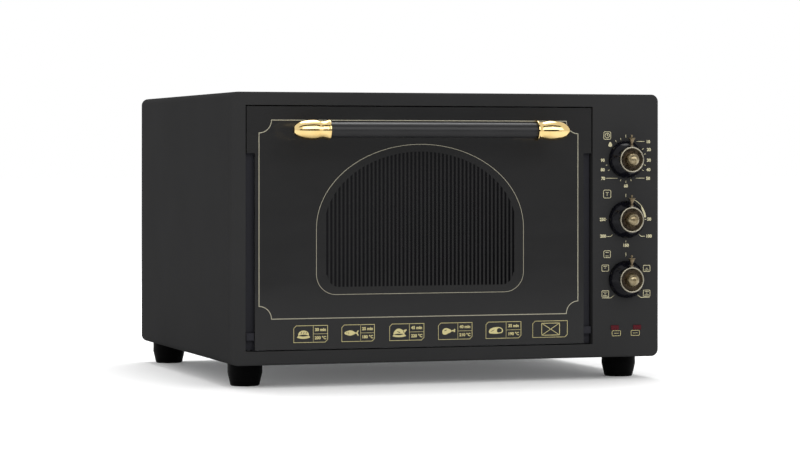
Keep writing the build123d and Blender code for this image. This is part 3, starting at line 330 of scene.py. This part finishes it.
def shadedSlotFinish():
    look = slotLook
    material, tree, shader = newFinish("window_slot", look["colour"], look["roughness"], specular=0.0)
    coords = tree.nodes.new("ShaderNodeTexCoord")
    mapping = tree.nodes.new("ShaderNodeMapping")
    mapping.inputs["Location"].default_value = look["from"]
    mapping.inputs["Scale"].default_value = look["over"]
    split = tree.nodes.new("ShaderNodeSeparateXYZ")
    total = tree.nodes.new("ShaderNodeMath")
    total.operation = "ADD"
    tree.links.new(coords.outputs["Object"], mapping.inputs["Vector"])
    tree.links.new(mapping.outputs["Vector"], split.inputs["Vector"])
    tree.links.new(split.outputs["X"], total.inputs[0])
    tree.links.new(split.outputs["Z"], total.inputs[1])
    # painted shade: lighter at the upper left, darker at the lower right
    varyColour(tree, shader, total, look["stops"])
    smoke = objectNoise(tree, look["smokeScale"])
    varyRoughness(tree, shader, smoke, look["smoothest"], look["roughest"])
    return material


finishes = {
    "body_paint": powderCoat("body_paint", bodyPaintLook),
    "door_paint": powderCoat("door_paint", doorPaintLook),
    "handle_black": powderCoat("handle_black", handleBlackLook),
    "black_plastic": powderCoat("black_plastic", blackPlasticLook),
    "white_plastic": powderCoat("white_plastic", whitePlasticLook),
    "control_plastic": powderCoat("control_plastic", phenolicLook),
    "seal_rubber": powderCoat("seal_rubber", sealLook),
    "ceramic": powderCoat("ceramic", ceramicLook),
    "door_glass": lacqueredGlass(),
    "clear_glass": texturedFinish("clear_glass", clearGlassLook),
    "gold_plate": metalFinish("gold_plate", goldPlateLook),
    "bronze_plate": metalFinish("bronze_plate", bronzeLook),
    "brass": metalFinish("brass", brassLook),
    "galvanised": metalFinish("galvanised", zincLook),
    "element_steel": metalFinish("element_steel", heatSteelLook),
    "chrome_wire": metalFinish("chrome_wire", chromeLook),
    "screw_steel": metalFinish("screw_steel", screwSteelLook),
    "spring_steel": metalFinish("spring_steel", springSteelLook),
    "copper_tube": metalFinish("copper_tube", copperLook),
    "enamel": speckledEnamel("enamel", cavityEnamelLook),
    "tray_enamel": speckledEnamel("tray_enamel", trayEnamelLook),
    "red_lens": texturedFinish("red_lens", redLensLook),
    "lamp_glass": texturedFinish("lamp_glass", neonGlassLook),
    "mineral_wool": texturedFinish("mineral_wool", woolLook),
    "wire_sleeve": texturedFinish("wire_sleeve", sleeveLook),
    "knob_black": texturedFinish("knob_black", knobGlossLook),
}
lineInk = goldInk("line_ink", (0.34, 0.32, 0.24))
markInk = goldInk("mark_ink", (0.52, 0.46, 0.22))
dialInk = goldInk("dial_ink", (0.53, 0.49, 0.31))
slotShade = shadedSlotFinish()

for node in nodes.values():
    for place in node.material_slots:
        slotName = place.material.name.split(".")[0]
        place.material = finishes[slotName]
# each knob's dish gets a plate with painted shade in its bowl and a painted highlight on its rim
for knob in ("timer", "thermostat", "selector"):
    dish = knob + "_knob_dish"
    nodes[dish].material_slots[0].material = dishWithPaintedShade(dish)
# the hinge pieces in the door's gap take the near-black plastic finish: painted shade in that gap
for node in ("hinge_bracket_left", "hinge_bracket_right", "hinge_pins", "hinge_bushings"):
    nodes[node].material_slots[0].material = finishes["black_plastic"]
print("finishes on", len(nodes), "pieces")


# printing on the front
inkDepth = 0.00009
inkSink = 0.3 * inkDepth
mergeDistance = 0.000004
textLook = {"sizePerHeight": 1.38, "weight": 0.00021, "curve": 3}
blotCurve = 5


def strokeProfile(width):
    shape = bpy.data.curves.new("stroke_profile", "CURVE")
    shape.dimensions = "2D"
    spline = shape.splines.new("POLY")
    spline.points.add(3)
    corners = [(-1, -1), (1, -1), (1, 1), (-1, 1)]
    for point, (u, v) in zip(spline.points, corners):
        point.co = (u * width / 2, v * inkDepth / 2, 0, 1)
    spline.use_cyclic_u = True
    holder = bpy.data.objects.new("stroke_profile", shape)
    bpy.context.scene.collection.objects.link(holder)
    return holder


def placeOnFront(piece, front):
    # drawn flat, then stood up against the front with its face towards the user
    deselectAll()
    piece.select_set(True)
    bpy.context.view_layer.objects.active = piece
    piece.rotation_euler = (math.radians(90), 0, 0)
    piece.location = (0, front - inkSink, caseBottom)
    bpy.ops.object.convert(target="MESH")
    bpy.ops.object.transform_apply(location=True, rotation=True, scale=True)
    return piece


def strokes(name, lines, width, front):
    # lines: (points in millimetres, closed)
    shape = bpy.data.curves.new(name, "CURVE")
    shape.dimensions = "2D"
    shape.fill_mode = "NONE"
    for points, closed in lines:
        spline = shape.splines.new("POLY")
        spline.points.add(len(points) - 1)
        for point, (x, z) in zip(spline.points, points):
            point.co = (x / 1000, z / 1000, 0, 1)
        spline.use_cyclic_u = closed
    profile = strokeProfile(width / 1000)
    shape.bevel_mode = "OBJECT"
    shape.bevel_object = profile
    shape.use_fill_caps = True
    piece = bpy.data.objects.new(name, shape)
    bpy.context.scene.collection.objects.link(piece)
    placeOnFront(piece, front)
    bpy.data.objects.remove(profile)
    return piece


def blots(name, outlines, front):
    # filled shapes with soft outlines; an outline inside another is left open
    shape = bpy.data.curves.new(name, "CURVE")
    shape.dimensions = "2D"
    shape.fill_mode = "BOTH"
    shape.extrude = inkDepth / 2
    shape.resolution_u = blotCurve
    for points in outlines:
        spline = shape.splines.new("BEZIER")
        spline.bezier_points.add(len(points) - 1)
        for point, (x, z) in zip(spline.bezier_points, points):
            point.co = (x / 1000, z / 1000, 0)
            point.handle_left_type = "AUTO"
            point.handle_right_type = "AUTO"
        spline.use_cyclic_u = True
    piece = bpy.data.objects.new(name, shape)
    bpy.context.scene.collection.objects.link(piece)
    return placeOnFront(piece, front)


def lettering(name, words, front):
    # words: (text, x, z, height) in millimetres
    parts = []
    for text, x, z, height in words:
        deselectAll()
        bpy.ops.object.text_add()
        label = bpy.context.object
        label.data.body = text
        label.data.size = height / 1000 * textLook["sizePerHeight"]
        label.data.align_x = "CENTER"
        label.data.align_y = "CENTER"
        label.data.offset = textLook["weight"]
        label.data.extrude = inkDepth / 2
        label.data.resolution_u = textLook["curve"]
        label.name = name
        bpy.ops.object.convert(target="MESH")
        label.data.transform(label.matrix_world)
        for vertex in label.data.vertices:
            vertex.co.x += x / 1000
            vertex.co.y += z / 1000
        parts.append(placeOnFront(label, front))
    return parts


def joinPieces(name, parts, ink, body):
    deselectAll()
    for part in parts:
        part.select_set(True)
    bpy.context.view_layer.objects.active = parts[0]
    if len(parts) > 1:
        bpy.ops.object.join()
    piece = bpy.context.view_layer.objects.active
    piece.name = name
    bpy.ops.object.mode_set(mode="EDIT")
    bpy.ops.mesh.select_all(action="SELECT")
    bpy.ops.mesh.remove_doubles(threshold=mergeDistance)
    bpy.ops.mesh.normals_make_consistent(inside=False)
    bpy.ops.object.mode_set(mode="OBJECT")
    piece.data.materials.clear()
    piece.data.materials.append(ink)
    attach(piece, body)


def arcPoints(middle, radius, start, end, steps):
    path = []
    for i in range(steps + 1):
        angle = math.radians(start + (end - start) * i / steps)
        path.append((middle[0] + radius * math.cos(angle), middle[1] + radius * math.sin(angle)))
    return path


def roundedBox(left, right, low, high, radius, steps=5):
    path = arcPoints((right - radius, high - radius), radius, 90, 0, steps)
    path += arcPoints((right - radius, low + radius), radius, 0, -90, steps)
    path += arcPoints((left + radius, low + radius), radius, -90, -180, steps)
    path += arcPoints((left + radius, high - radius), radius, 180, 90, steps)
    return path


# the gold line round the door, with a quarter circle cut into each corner
doorLine = {"left": -245.0, "right": 170.3, "top": 297.7, "bottom": 56.0, "corner": 15.7, "width": 1.0,
            "steps": 14}


def doorBorder():
    d = doorLine
    path = arcPoints((d["right"], d["top"]), d["corner"], 180, 270, d["steps"])
    path += arcPoints((d["right"], d["bottom"]), d["corner"], 90, 180, d["steps"])
    path += arcPoints((d["left"], d["bottom"]), d["corner"], 0, 90, d["steps"])
    path += arcPoints((d["left"], d["top"]), d["corner"], 270, 360, d["steps"])
    joinPieces("door_border", [strokes("door_border", [(path, True)], d["width"], glassFront)], lineInk,
               "door")


doorBorder()

# the arched gold line round the window
archLine = {"middle": -37.7, "half": 134.8, "spring": 165.0, "rise": 103.5, "bottom": 84.7, "corner": 25.0,
            "width": 0.62, "steps": 72, "cornerSteps": 12}


def archBorder():
    a = archLine
    path = []
    for i in range(a["steps"] + 1):
        angle = math.radians(180 - 180 * i / a["steps"])
        path.append((a["middle"] + a["half"] * math.cos(angle), a["spring"] + a["rise"] * math.sin(angle)))
    right = a["middle"] + a["half"] - a["corner"]
    left = a["middle"] - a["half"] + a["corner"]
    low = a["bottom"] + a["corner"]
    path += arcPoints((right, low), a["corner"], 0, -90, a["cornerSteps"])
    path += arcPoints((left, low), a["corner"], -90, -180, a["cornerSteps"])
    joinPieces("window_border", [strokes("window_border", [(path, True)], a["width"], glassFront)], lineInk,
               "door")


archBorder()
print("door lines")

# the dark upright slots of the window, cut to the arch at their tops and to round corners at their feet
windowSlots = {"middle": -37.6, "count": 48, "pitch": 5.15, "width": 2.7, "half": 125.0, "spring": 165.0,
               "rise": 94.5, "sill": 94.0, "corner": 15.0, "rim": 4.0,
               "widest": 0.999}


def slotEnds(x):
    w = windowSlots
    away = min(abs(x - w["middle"]) / w["half"], w["widest"])
    top = w["spring"] + w["rise"] * math.sqrt(1 - away * away)
    bottom = w["sill"]
    past = abs(x - w["middle"]) - (w["half"] - w["rim"] - w["corner"])
    if past > 0:
        past = min(past, w["corner"])
        bottom += w["corner"] - math.sqrt(w["corner"] ** 2 - past ** 2)
    return bottom, top


def windowPrint():
    w = windowSlots
    deselectAll()
    bpy.ops.mesh.primitive_plane_add(size=1, location=(0, 0, 0))
    first = bpy.context.object
    bpy.ops.object.mode_set(mode="EDIT")
    bpy.ops.mesh.subdivide(number_cuts=1)
    bpy.ops.mesh.extrude_region_move(TRANSFORM_OT_translate={"value": (0, 0, inkDepth)})
    bpy.ops.object.mode_set(mode="OBJECT")
    parts = []
    for i in range(w["count"]):
        slat = first.copy()
        slat.data = first.data.copy()
        bpy.context.scene.collection.objects.link(slat)
        left = w["middle"] + (i - w["count"] / 2 + 0.5) * w["pitch"]
        for vertex in slat.data.vertices:
            x = left + vertex.co.x * w["width"]
            bottom, top = slotEnds(x)
            z = bottom + (top - bottom) * (vertex.co.y + 0.5)
            vertex.co = (x / 1000, z / 1000, vertex.co.z - inkDepth / 2)
        parts.append(placeOnFront(slat, glassFront))
    bpy.data.objects.remove(first)
    # the slots carry painted shade for the dark oven behind them
    joinPieces("window_slots", parts, slotShade, "door")


windowPrint()
print("window slots")

# the row of programme boxes under the window
programmeRow = {"low": 26.9, "high": 47.3, "cut": 3.2, "line": 0.62, "thin": 0.5, "thick": 0.82,
                "pictureShare": 0.575, "number": 3.7, "numberRise": 5.0,
                "cross": (121.5, 145.5, 29.5, 44.5),
                "boxes": [(-201.2, -158.2), (-140.1, -98.2), (-78.6, -34.1), (-15.2, 29.0), (47.3, 93.8),
                          (109.5, 156.0)],
                "times": ["30 min", "25 min", "45 min", "40 min", "35 min"],
                "heats": ["200 °C", "180 °C", "220 °C", "210 °C", "190 °C"]}


def moved(middle, points):
    return [(middle[0] + x, middle[1] + z) for x, z in points]


def ovalPoints(x, z, wide, high, count, turn=0.0):
    path = []
    tilt = math.radians(turn)
    for i in range(count):
        angle = 2 * math.pi * i / count
        u = wide / 2 * math.cos(angle)
        v = high / 2 * math.sin(angle)
        path.append((x + u * math.cos(tilt) - v * math.sin(tilt),
                     z + u * math.sin(tilt) + v * math.cos(tilt)))
    return path


# each picture is a list of outlines about its own middle, in millimetres
bunPicture = [
    [(-6.5, -1.6), (-6.2, 1.2), (-3.6, 3.6), (0, 4.4), (3.6, 3.6), (6.2, 1.2), (6.5, -1.6), (3.2, -2.6),
     (-3.2, -2.6)],
    [(-8.2, -3.6), (8.2, -3.6), (6.4, -4.8), (-6.4, -4.8)],
    ovalPoints(-2.8, 1.4, 0.8, 3.2, 8, -20),
    ovalPoints(0.4, 1.4, 0.8, 3.2, 8, -20),
    ovalPoints(3.4, 1.4, 0.8, 3.2, 8, -20),
]
fishPicture = [
    [(-8.6, 0.2), (-5.2, 2.6), (-0.5, 3.4), (4.2, 1.5), (6.0, 0.5), (9.2, 3.2), (8.3, 0), (9.2, -3.2),
     (6.0, -0.5), (4.2, -1.3), (-0.5, -2.9), (-5.2, -2.2)],
    ovalPoints(-5.6, 0.7, 1.1, 1.1, 8),
    ovalPoints(-3.2, 0.1, 0.6, 3.0, 8, 8),
]
roastPicture = [
    [(-7.6, -2.6), (-6.4, 1.4), (-2.6, 4.2), (1.8, 3.8), (5.0, 1.4), (6.4, -1.6), (3.2, -3.2), (-3.6, -3.6)],
    [(4.6, 0.6), (8.4, 3.2), (9.4, 2.6), (8.8, 1.8), (6.0, -0.6)],
    ovalPoints(-1.2, 0.2, 4.4, 1.1, 10, -18),
    [(-9.0, -4.2), (8.4, -4.2), (7.0, -5.3), (-7.6, -5.3)],
]
drumstickPicture = [
    [(-7.6, -1.4), (-6.8, 2.0), (-3.0, 3.8), (1.2, 2.8), (4.0, 1.0), (4.0, -0.6), (0.6, -2.6), (-3.6, -4.2),
     (-6.6, -3.6)],
    [(4.6, 0.9), (7.2, 1.5), (8.2, 2.8), (9.4, 1.6), (8.9, 0.4), (9.2, -0.9), (7.6, -1.3), (6.9, -0.1),
     (4.6, -0.4)],
    ovalPoints(-3.4, 1.0, 3.6, 0.9, 8, 22),
]
loafPicture = [
    [(-9.2, -3.0), (-8.8, 0.4), (-5.6, 2.6), (0.4, 3.8), (6.0, 3.2), (8.8, 0.8), (8.6, -2.6), (4.6, -4.0),
     (-4.8, -4.2)],
    [(1.2, -0.4), (2.6, 2.2), (5.6, 2.2), (7.6, 0.4), (7.2, -2.0), (4.2, -2.9), (1.8, -2.6)],
    ovalPoints(-4.4, -0.6, 5.2, 0.8, 8, 24),
]
dishPictures = [bunPicture, fishPicture, roastPicture, drumstickPicture, loafPicture]


def programmes():
    p = programmeRow
    middle = (p["low"] + p["high"]) / 2
    outlines = []
    dividers = []
    words = []
    pictures = []
    for i, (left, right) in enumerate(p["boxes"]):
        cut = p["cut"]
        outlines.append(([(left + cut, p["high"]), (right, p["high"]), (right, p["low"] + cut),
                          (right - cut, p["low"]), (left, p["low"]), (left, p["high"] - cut)], True))
        if i == len(dishPictures):
            # the last box holds the cross in place of a dish
            break
        split = left + p["pictureShare"] * (right - left)
        dividers.append(([(split, p["low"]), (split, p["high"])], False))
        dividers.append(([(split, middle), (right, middle)], False))
        column = (split + right) / 2
        words.append((p["times"][i], column, middle + p["numberRise"], p["number"]))
        words.append((p["heats"][i], column, middle - p["numberRise"], p["number"]))
        pictures += [moved(((left + split) / 2, middle), outline) for outline in dishPictures[i]]
    left, right, low, high = p["cross"]
    frameLines = [([(left, low), (right, low), (right, high), (left, high)], True),
                  ([(left, low), (right, high)], False),
                  ([(left, high), (right, low)], False)]
    parts = [strokes("programme_boxes", outlines, p["line"], glassFront),
             strokes("programme_dividers", dividers, p["thin"], glassFront),
             strokes("programme_cross", frameLines, p["thick"], glassFront)]
    joinPieces("programme_boxes", parts, markInk, "door")
    joinPieces("programme_pictures", [blots("programme_pictures", pictures, glassFront)], markInk, "door")
    joinPieces("programme_values", lettering("programme_values", words, glassFront), markInk, "door")


programmes()
print("programme row")

# marks round the three knobs, in millimetres from each knob's own middle
dialMarks = {"line": 0.75, "number": 3.9, "tickIn": 25.6, "tickOut": 28.2}


def dialAt(node):
    return knobMiddle * 1000, (middleHeight(node) - caseBottom) * 1000


def tickLine(middle, angle):
    # angle in degrees clockwise from the top
    turn = math.radians(angle)
    reach = (dialMarks["tickIn"], dialMarks["tickOut"])
    return ([(middle[0] + r * math.sin(turn), middle[1] + r * math.cos(turn)) for r in reach], False)


def openLines(middle, paths):
    return [(moved(middle, path), False) for path in paths]


def dialNumbers(name, middle, numbers):
    words = [(text, middle[0] + x, middle[1] + z, dialMarks["number"]) for text, x, z in numbers]
    return lettering(name, words, panelFront)


# an arc is its middle, radius, first angle, last angle and steps, with angles anticlockwise from the right
timerMarks = {"ticks": (-30, -15, 15, 60, 75, 105, 120, 165, 195, 240, 255),
              "paths": [[(14.5, 23.0), (25.5, 23.0)], [(13.5, -23.5), (25.5, -23.5)],
                        [(-11.5, -23.5), (-27.0, -23.5)], [(0, 27.5), (0, 31.5)], [(0, -26.5), (0, -29.5)]],
              "clockBox": (-30.0, -20.6, 25.6, 35.0, 1.6), 
              "clockFace": ((-25.3, 30.3), 3.0, 90, 450, 16),
              "hands": [(-25.3, 32.4), (-25.3, 30.3), (-23.9, 29.4)],
              "bell": [(-23.4, 17.2), (-22.9, 20.4), (-21.2, 22.2), (-19.5, 20.4), (-19.0, 17.2)],
              "numbers": [("10", 30.5, 22.5), ("20", 31.5, 12.5), ("30", 31.5, -1.0), ("40", 31.0, -13.0),
                          ("50", 30.5, -24.0), ("60", 0, -33.5), ("70", -31.0, -24.0), ("80", -31.5, -13.0),
                          ("90", -31.5, -1.0)]}


def timerScale():
    t = timerMarks
    m = dialAt("timer_knob_skirt")
    lines = [tickLine(m, angle) for angle in t["ticks"]]
    lines += openLines(m, t["paths"])
    lines.append((moved(m, roundedBox(*t["clockBox"])), True))
    lines.append((moved(m, arcPoints(*t["clockFace"])), True))
    lines += openLines(m, [t["hands"]])
    parts = [strokes("timer_scale", lines, dialMarks["line"], panelFront),
             blots("timer_bell", [moved(m, t["bell"])], panelFront)]
    parts += dialNumbers("timer_numbers", m, t["numbers"])
    joinPieces("timer_scale", parts, dialInk, "oven")


thermostatMarks = {"paths": [[(0, 28.0), (0, 32.5)], [(0, -26.5), (0, -29.0)], [(-26.0, 0), (-28.5, 0)],
                             [(-18.0, -19.0), (-21.0, -21.5), (-26.5, -21.5)],
                             [(18.0, -19.0), (21.0, -21.5), (26.5, -21.5)]],
                   "box": (-30.4, -20.4, 27.2, 37.2, 1.8),
                   "letter": [[(-27.6, 34.2), (-23.2, 34.2)], [(-25.4, 34.2), (-25.4, 29.8)]],
                   "tick": 90, "wedgeOuter": ((0, 0), 27.6, 70, 6, 9),
                   "wedgeThin": ((0, 0), 26.9, 70, 40, 4), "wedgeThick": ((0, 0), 25.2, 30, 6, 3),
                   "numbers": [("50", 32.0, 0), ("100", 31.5, -21.5), ("150", 0, -33.0),
                               ("200", -31.0, -21.0), ("250", -31.5, 0)]}


def heatWedge():
    # thin near the top of the knob and thick at its right
    t = thermostatMarks
    inner = arcPoints(*t["wedgeThin"]) + arcPoints(*t["wedgeThick"])
    return arcPoints(*t["wedgeOuter"]) + inner[::-1]


def thermostatScale():
    t = thermostatMarks
    m = dialAt("thermostat_knob_skirt")
    lines = [tickLine(m, t["tick"])]
    lines += openLines(m, t["paths"])
    lines.append((moved(m, roundedBox(*t["box"])), True))
    lines += openLines(m, t["letter"])
    parts = [strokes("thermostat_scale", lines, dialMarks["line"], panelFront),
             blots("thermostat_wedge", [moved(m, heatWedge())], panelFront)]
    parts += dialNumbers("thermostat_numbers", m, t["numbers"])
    joinPieces("thermostat_scale", parts, dialInk, "oven")


# a heater sign: x, z, and whether its top and bottom bars are drawn
selectorMarks = {"signs": [(-28.0, 14.5, True, False), (-28.0, -18.0, True, True), (28.5, 13.5, False, True),
                           (28.5, -18.0, True, True)],
                 "pointer": [(0, 29.0), (0, 34.0)], "box": (-30.0, -21.0, 27.6, 36.4, 1.6),
                 "paths": [[(-28.0, 34.2), (-23.0, 34.2)], [(-28.0, 29.8), (-23.0, 29.8)],
                           [(-32.5, -23.2), (-20.5, -23.2), (-16.0, -20.0)],
                           [(32.5, -23.2), (20.5, -23.2), (16.0, -20.0)]],
                 "half": 4.6, "halfHeight": 3.9, "corner": 1.0, "bar": 2.9, "barRise": 2.1, "middleBar": 1.2}


def heatSign(x, z, top, bottom):
    # an oven seen from the front, with a short bar in its middle and a long one for each heater that is on
    t = selectorMarks
    box = roundedBox(x - t["half"], x + t["half"], z - t["halfHeight"], z + t["halfHeight"], t["corner"])
    lines = [(box, True)]
    if top:
        lines.append(([(x - t["bar"], z + t["barRise"]), (x + t["bar"], z + t["barRise"])], False))
    if bottom:
        lines.append(([(x - t["bar"], z - t["barRise"]), (x + t["bar"], z - t["barRise"])], False))
    lines.append(([(x - t["middleBar"], z), (x + t["middleBar"], z)], False))
    return lines


def selectorScale():
    t = selectorMarks
    m = dialAt("selector_knob_skirt")
    lines = openLines(m, [t["pointer"]])
    for x, z, top, bottom in t["signs"]:
        lines += heatSign(m[0] + x, m[1] + z, top, bottom)
    lines.append((moved(m, roundedBox(*t["box"])), True))
    lines += openLines(m, t["paths"])
    joinPieces("selector_scale", [strokes("selector_scale", lines, dialMarks["line"], panelFront)], dialInk,
               "oven")


timerScale()
thermostatScale()
selectorScale()
print("dial marks")

# a small outlined sign under each pilot lamp, set in from the outer side of the bulb by the inset;
# that is 2.25 mm more than the bulb's radius, so each sign stands that much nearer to the other
lampSigns = {"wide": 11.5, "high": 6.4, "drop": 1.0, "line": 0.6, "inset": 5.25, "corner": 1.2, "bar": 3.4}


def lampSign():
    t = lampSigns
    low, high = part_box("pilot_lamps")
    top = (low.z - caseBottom) * 1000 - t["drop"]
    lines = []
    for x in (low.x * 1000 + t["inset"], high.x * 1000 - t["inset"]):
        box = roundedBox(x - t["wide"] / 2, x + t["wide"] / 2, top - t["high"], top, t["corner"])
        lines.append((box, True))
        lines.append(([(x - t["bar"], top - t["high"] / 2), (x + t["bar"], top - t["high"] / 2)], False))
    joinPieces("lamp_signs", [strokes("lamp_signs", lines, t["line"], panelFront)], markInk, "oven")


lampSign()
print("lamp signs")


# studio
studio = {"floorSize": 60.0, "floorColour": (0.96, 0.96, 0.96), "ambient": 0.97, "backdrop": 1.0,
          "whiteLift": 0.085}
lights = {"key_light": {"place": (0.3, 1.0, 3.0), "size": 2.4, "power": 62.0},
          "fill_light": {"place": (0.9, -3.0, 1.9), "size": 1.2, "power": 13.0}}
lightAim = (0, 0, 0.2)
photoCamera = {"lens": 125.3, "sensor": 36, "shift": -0.0869, "sight": 200,
               "place": (-1.13287, -3.47453, 0.28268), "heading": -18.14}


def seenDirectly(tree):
    # 1 where the camera, a reflection or clear glass looks at this, and 0 for the light it gives
    path = tree.nodes.new("ShaderNodeLightPath")
    first = tree.nodes.new("ShaderNodeMath")
    first.operation = "MAXIMUM"
    second = tree.nodes.new("ShaderNodeMath")
    second.operation = "MAXIMUM"
    tree.links.new(path.outputs["Is Camera Ray"], first.inputs[0])
    tree.links.new(path.outputs["Is Glossy Ray"], first.inputs[1])
    tree.links.new(first.outputs[0], second.inputs[0])
    tree.links.new(path.outputs["Is Transmission Ray"], second.inputs[1])
    return second.outputs[0]


def floor():
    deselectAll()
    bpy.ops.mesh.primitive_plane_add(size=studio["floorSize"], location=(0, 0, 0))
    ground = bpy.context.object
    ground.name = "studio_floor"
    material = bpy.data.materials.new("studio_floor")
    material.use_nodes = True
    tree = material.node_tree
    output = tree.nodes["Material Output"]
    tree.nodes.remove(tree.nodes["Principled BSDF"])
    paper = tree.nodes.new("ShaderNodeBsdfDiffuse")
    paper.inputs["Color"].default_value = (*studio["floorColour"], 1)
    lift = tree.nodes.new("ShaderNodeEmission")
    amount = tree.nodes.new("ShaderNodeMath")
    amount.operation = "MULTIPLY"
    amount.inputs[1].default_value = studio["whiteLift"]
    both = tree.nodes.new("ShaderNodeAddShader")
    tree.links.new(seenDirectly(tree), amount.inputs[0])
    tree.links.new(amount.outputs[0], lift.inputs["Strength"])
    tree.links.new(paper.outputs[0], both.inputs[0])
    tree.links.new(lift.outputs[0], both.inputs[1])
    tree.links.new(both.outputs[0], output.inputs["Surface"])
    ground.data.materials.append(material)


def softLights():
    for name, light in lights.items():
        data = bpy.data.lights.new(name, "AREA")
        data.shape = "DISK"
        data.size = light["size"]
        data.energy = light["power"]
        lamp = bpy.data.objects.new(name, data)
        bpy.context.scene.collection.objects.link(lamp)
        lamp.location = light["place"]
        direction = [aim - place for aim, place in zip(lightAim, light["place"])]
        length = math.sqrt(sum(v * v for v in direction))
        lean = math.acos(-direction[2] / length)
        heading = math.atan2(direction[0], -direction[1]) + math.pi
        lamp.rotation_euler = (lean, 0, heading)


# cards round the set that only reflections see: they draw the streaks on polished metal
cards = {"camera_card": {"place": (-1.2, -5.2, 0.3), "size": (9.0, 1.5), "tilt": 90, "glow": 0.0},
         "upper_card": {"place": (-0.6, -2.4, 3.4), "size": (7.0, 1.0), "tilt": 40, "glow": 0.0},
         "low_card": {"place": (-1.2, -3.5, 0.02), "size": (7.0, 3.0), "tilt": 0, "glow": 0.0},
         "bright_card": {"place": (0.7, -2.8, 1.55), "size": (4.4, 1.6), "tilt": 90, "glow": 3.4}}
cardLook = {"colour": (0.012, 0.01, 0.008), "roughness": 0.9, "specular": 0.05}


def reflectedCards():
    for name, card in cards.items():
        material, _, shader = newFinish(name, cardLook["colour"], cardLook["roughness"],
                                        specular=cardLook["specular"])
        shader.inputs["Emission Color"].default_value = (1, 1, 1, 1)
        shader.inputs["Emission Strength"].default_value = card["glow"]
        deselectAll()
        lean = (math.radians(card["tilt"]), 0, 0)
        bpy.ops.mesh.primitive_plane_add(size=1, location=card["place"], rotation=lean)
        sheet = bpy.context.object
        sheet.name = name
        sheet.scale = (card["size"][0], card["size"][1], 1)
        bpy.ops.object.transform_apply(location=True, rotation=True, scale=True)
        sheet.data.materials.append(material)
        sheet.visible_camera = False
        sheet.visible_diffuse = False
        sheet.visible_shadow = False
        sheet.visible_transmission = False


def sky():
    world = bpy.data.worlds.new("studio_air")
    bpy.context.scene.world = world
    world.use_nodes = True
    tree = world.node_tree
    background = tree.nodes["Background"]
    background.inputs["Color"].default_value = (1, 1, 1, 1)
    strength = tree.nodes.new("ShaderNodeMapRange")
    strength.inputs["To Min"].default_value = studio["ambient"]
    strength.inputs["To Max"].default_value = studio["backdrop"]
    tree.links.new(seenDirectly(tree), strength.inputs["Value"])
    tree.links.new(strength.outputs["Result"], background.inputs["Strength"])


def camera():
    look = photoCamera
    data = bpy.data.cameras.new("photo_camera")
    data.lens = look["lens"]
    data.sensor_width = look["sensor"]
    data.shift_y = look["shift"]
    data.clip_end = look["sight"]
    viewer = bpy.data.objects.new("photo_camera", data)
    bpy.context.scene.collection.objects.link(viewer)
    viewer.location = look["place"]
    viewer.rotation_euler = (math.radians(90), 0, math.radians(look["heading"]))
    bpy.context.scene.camera = viewer


floor()
reflectedCards()
sky()
softLights()
camera()
bpy.context.scene.view_settings.view_transform = "Standard"
print("studio")
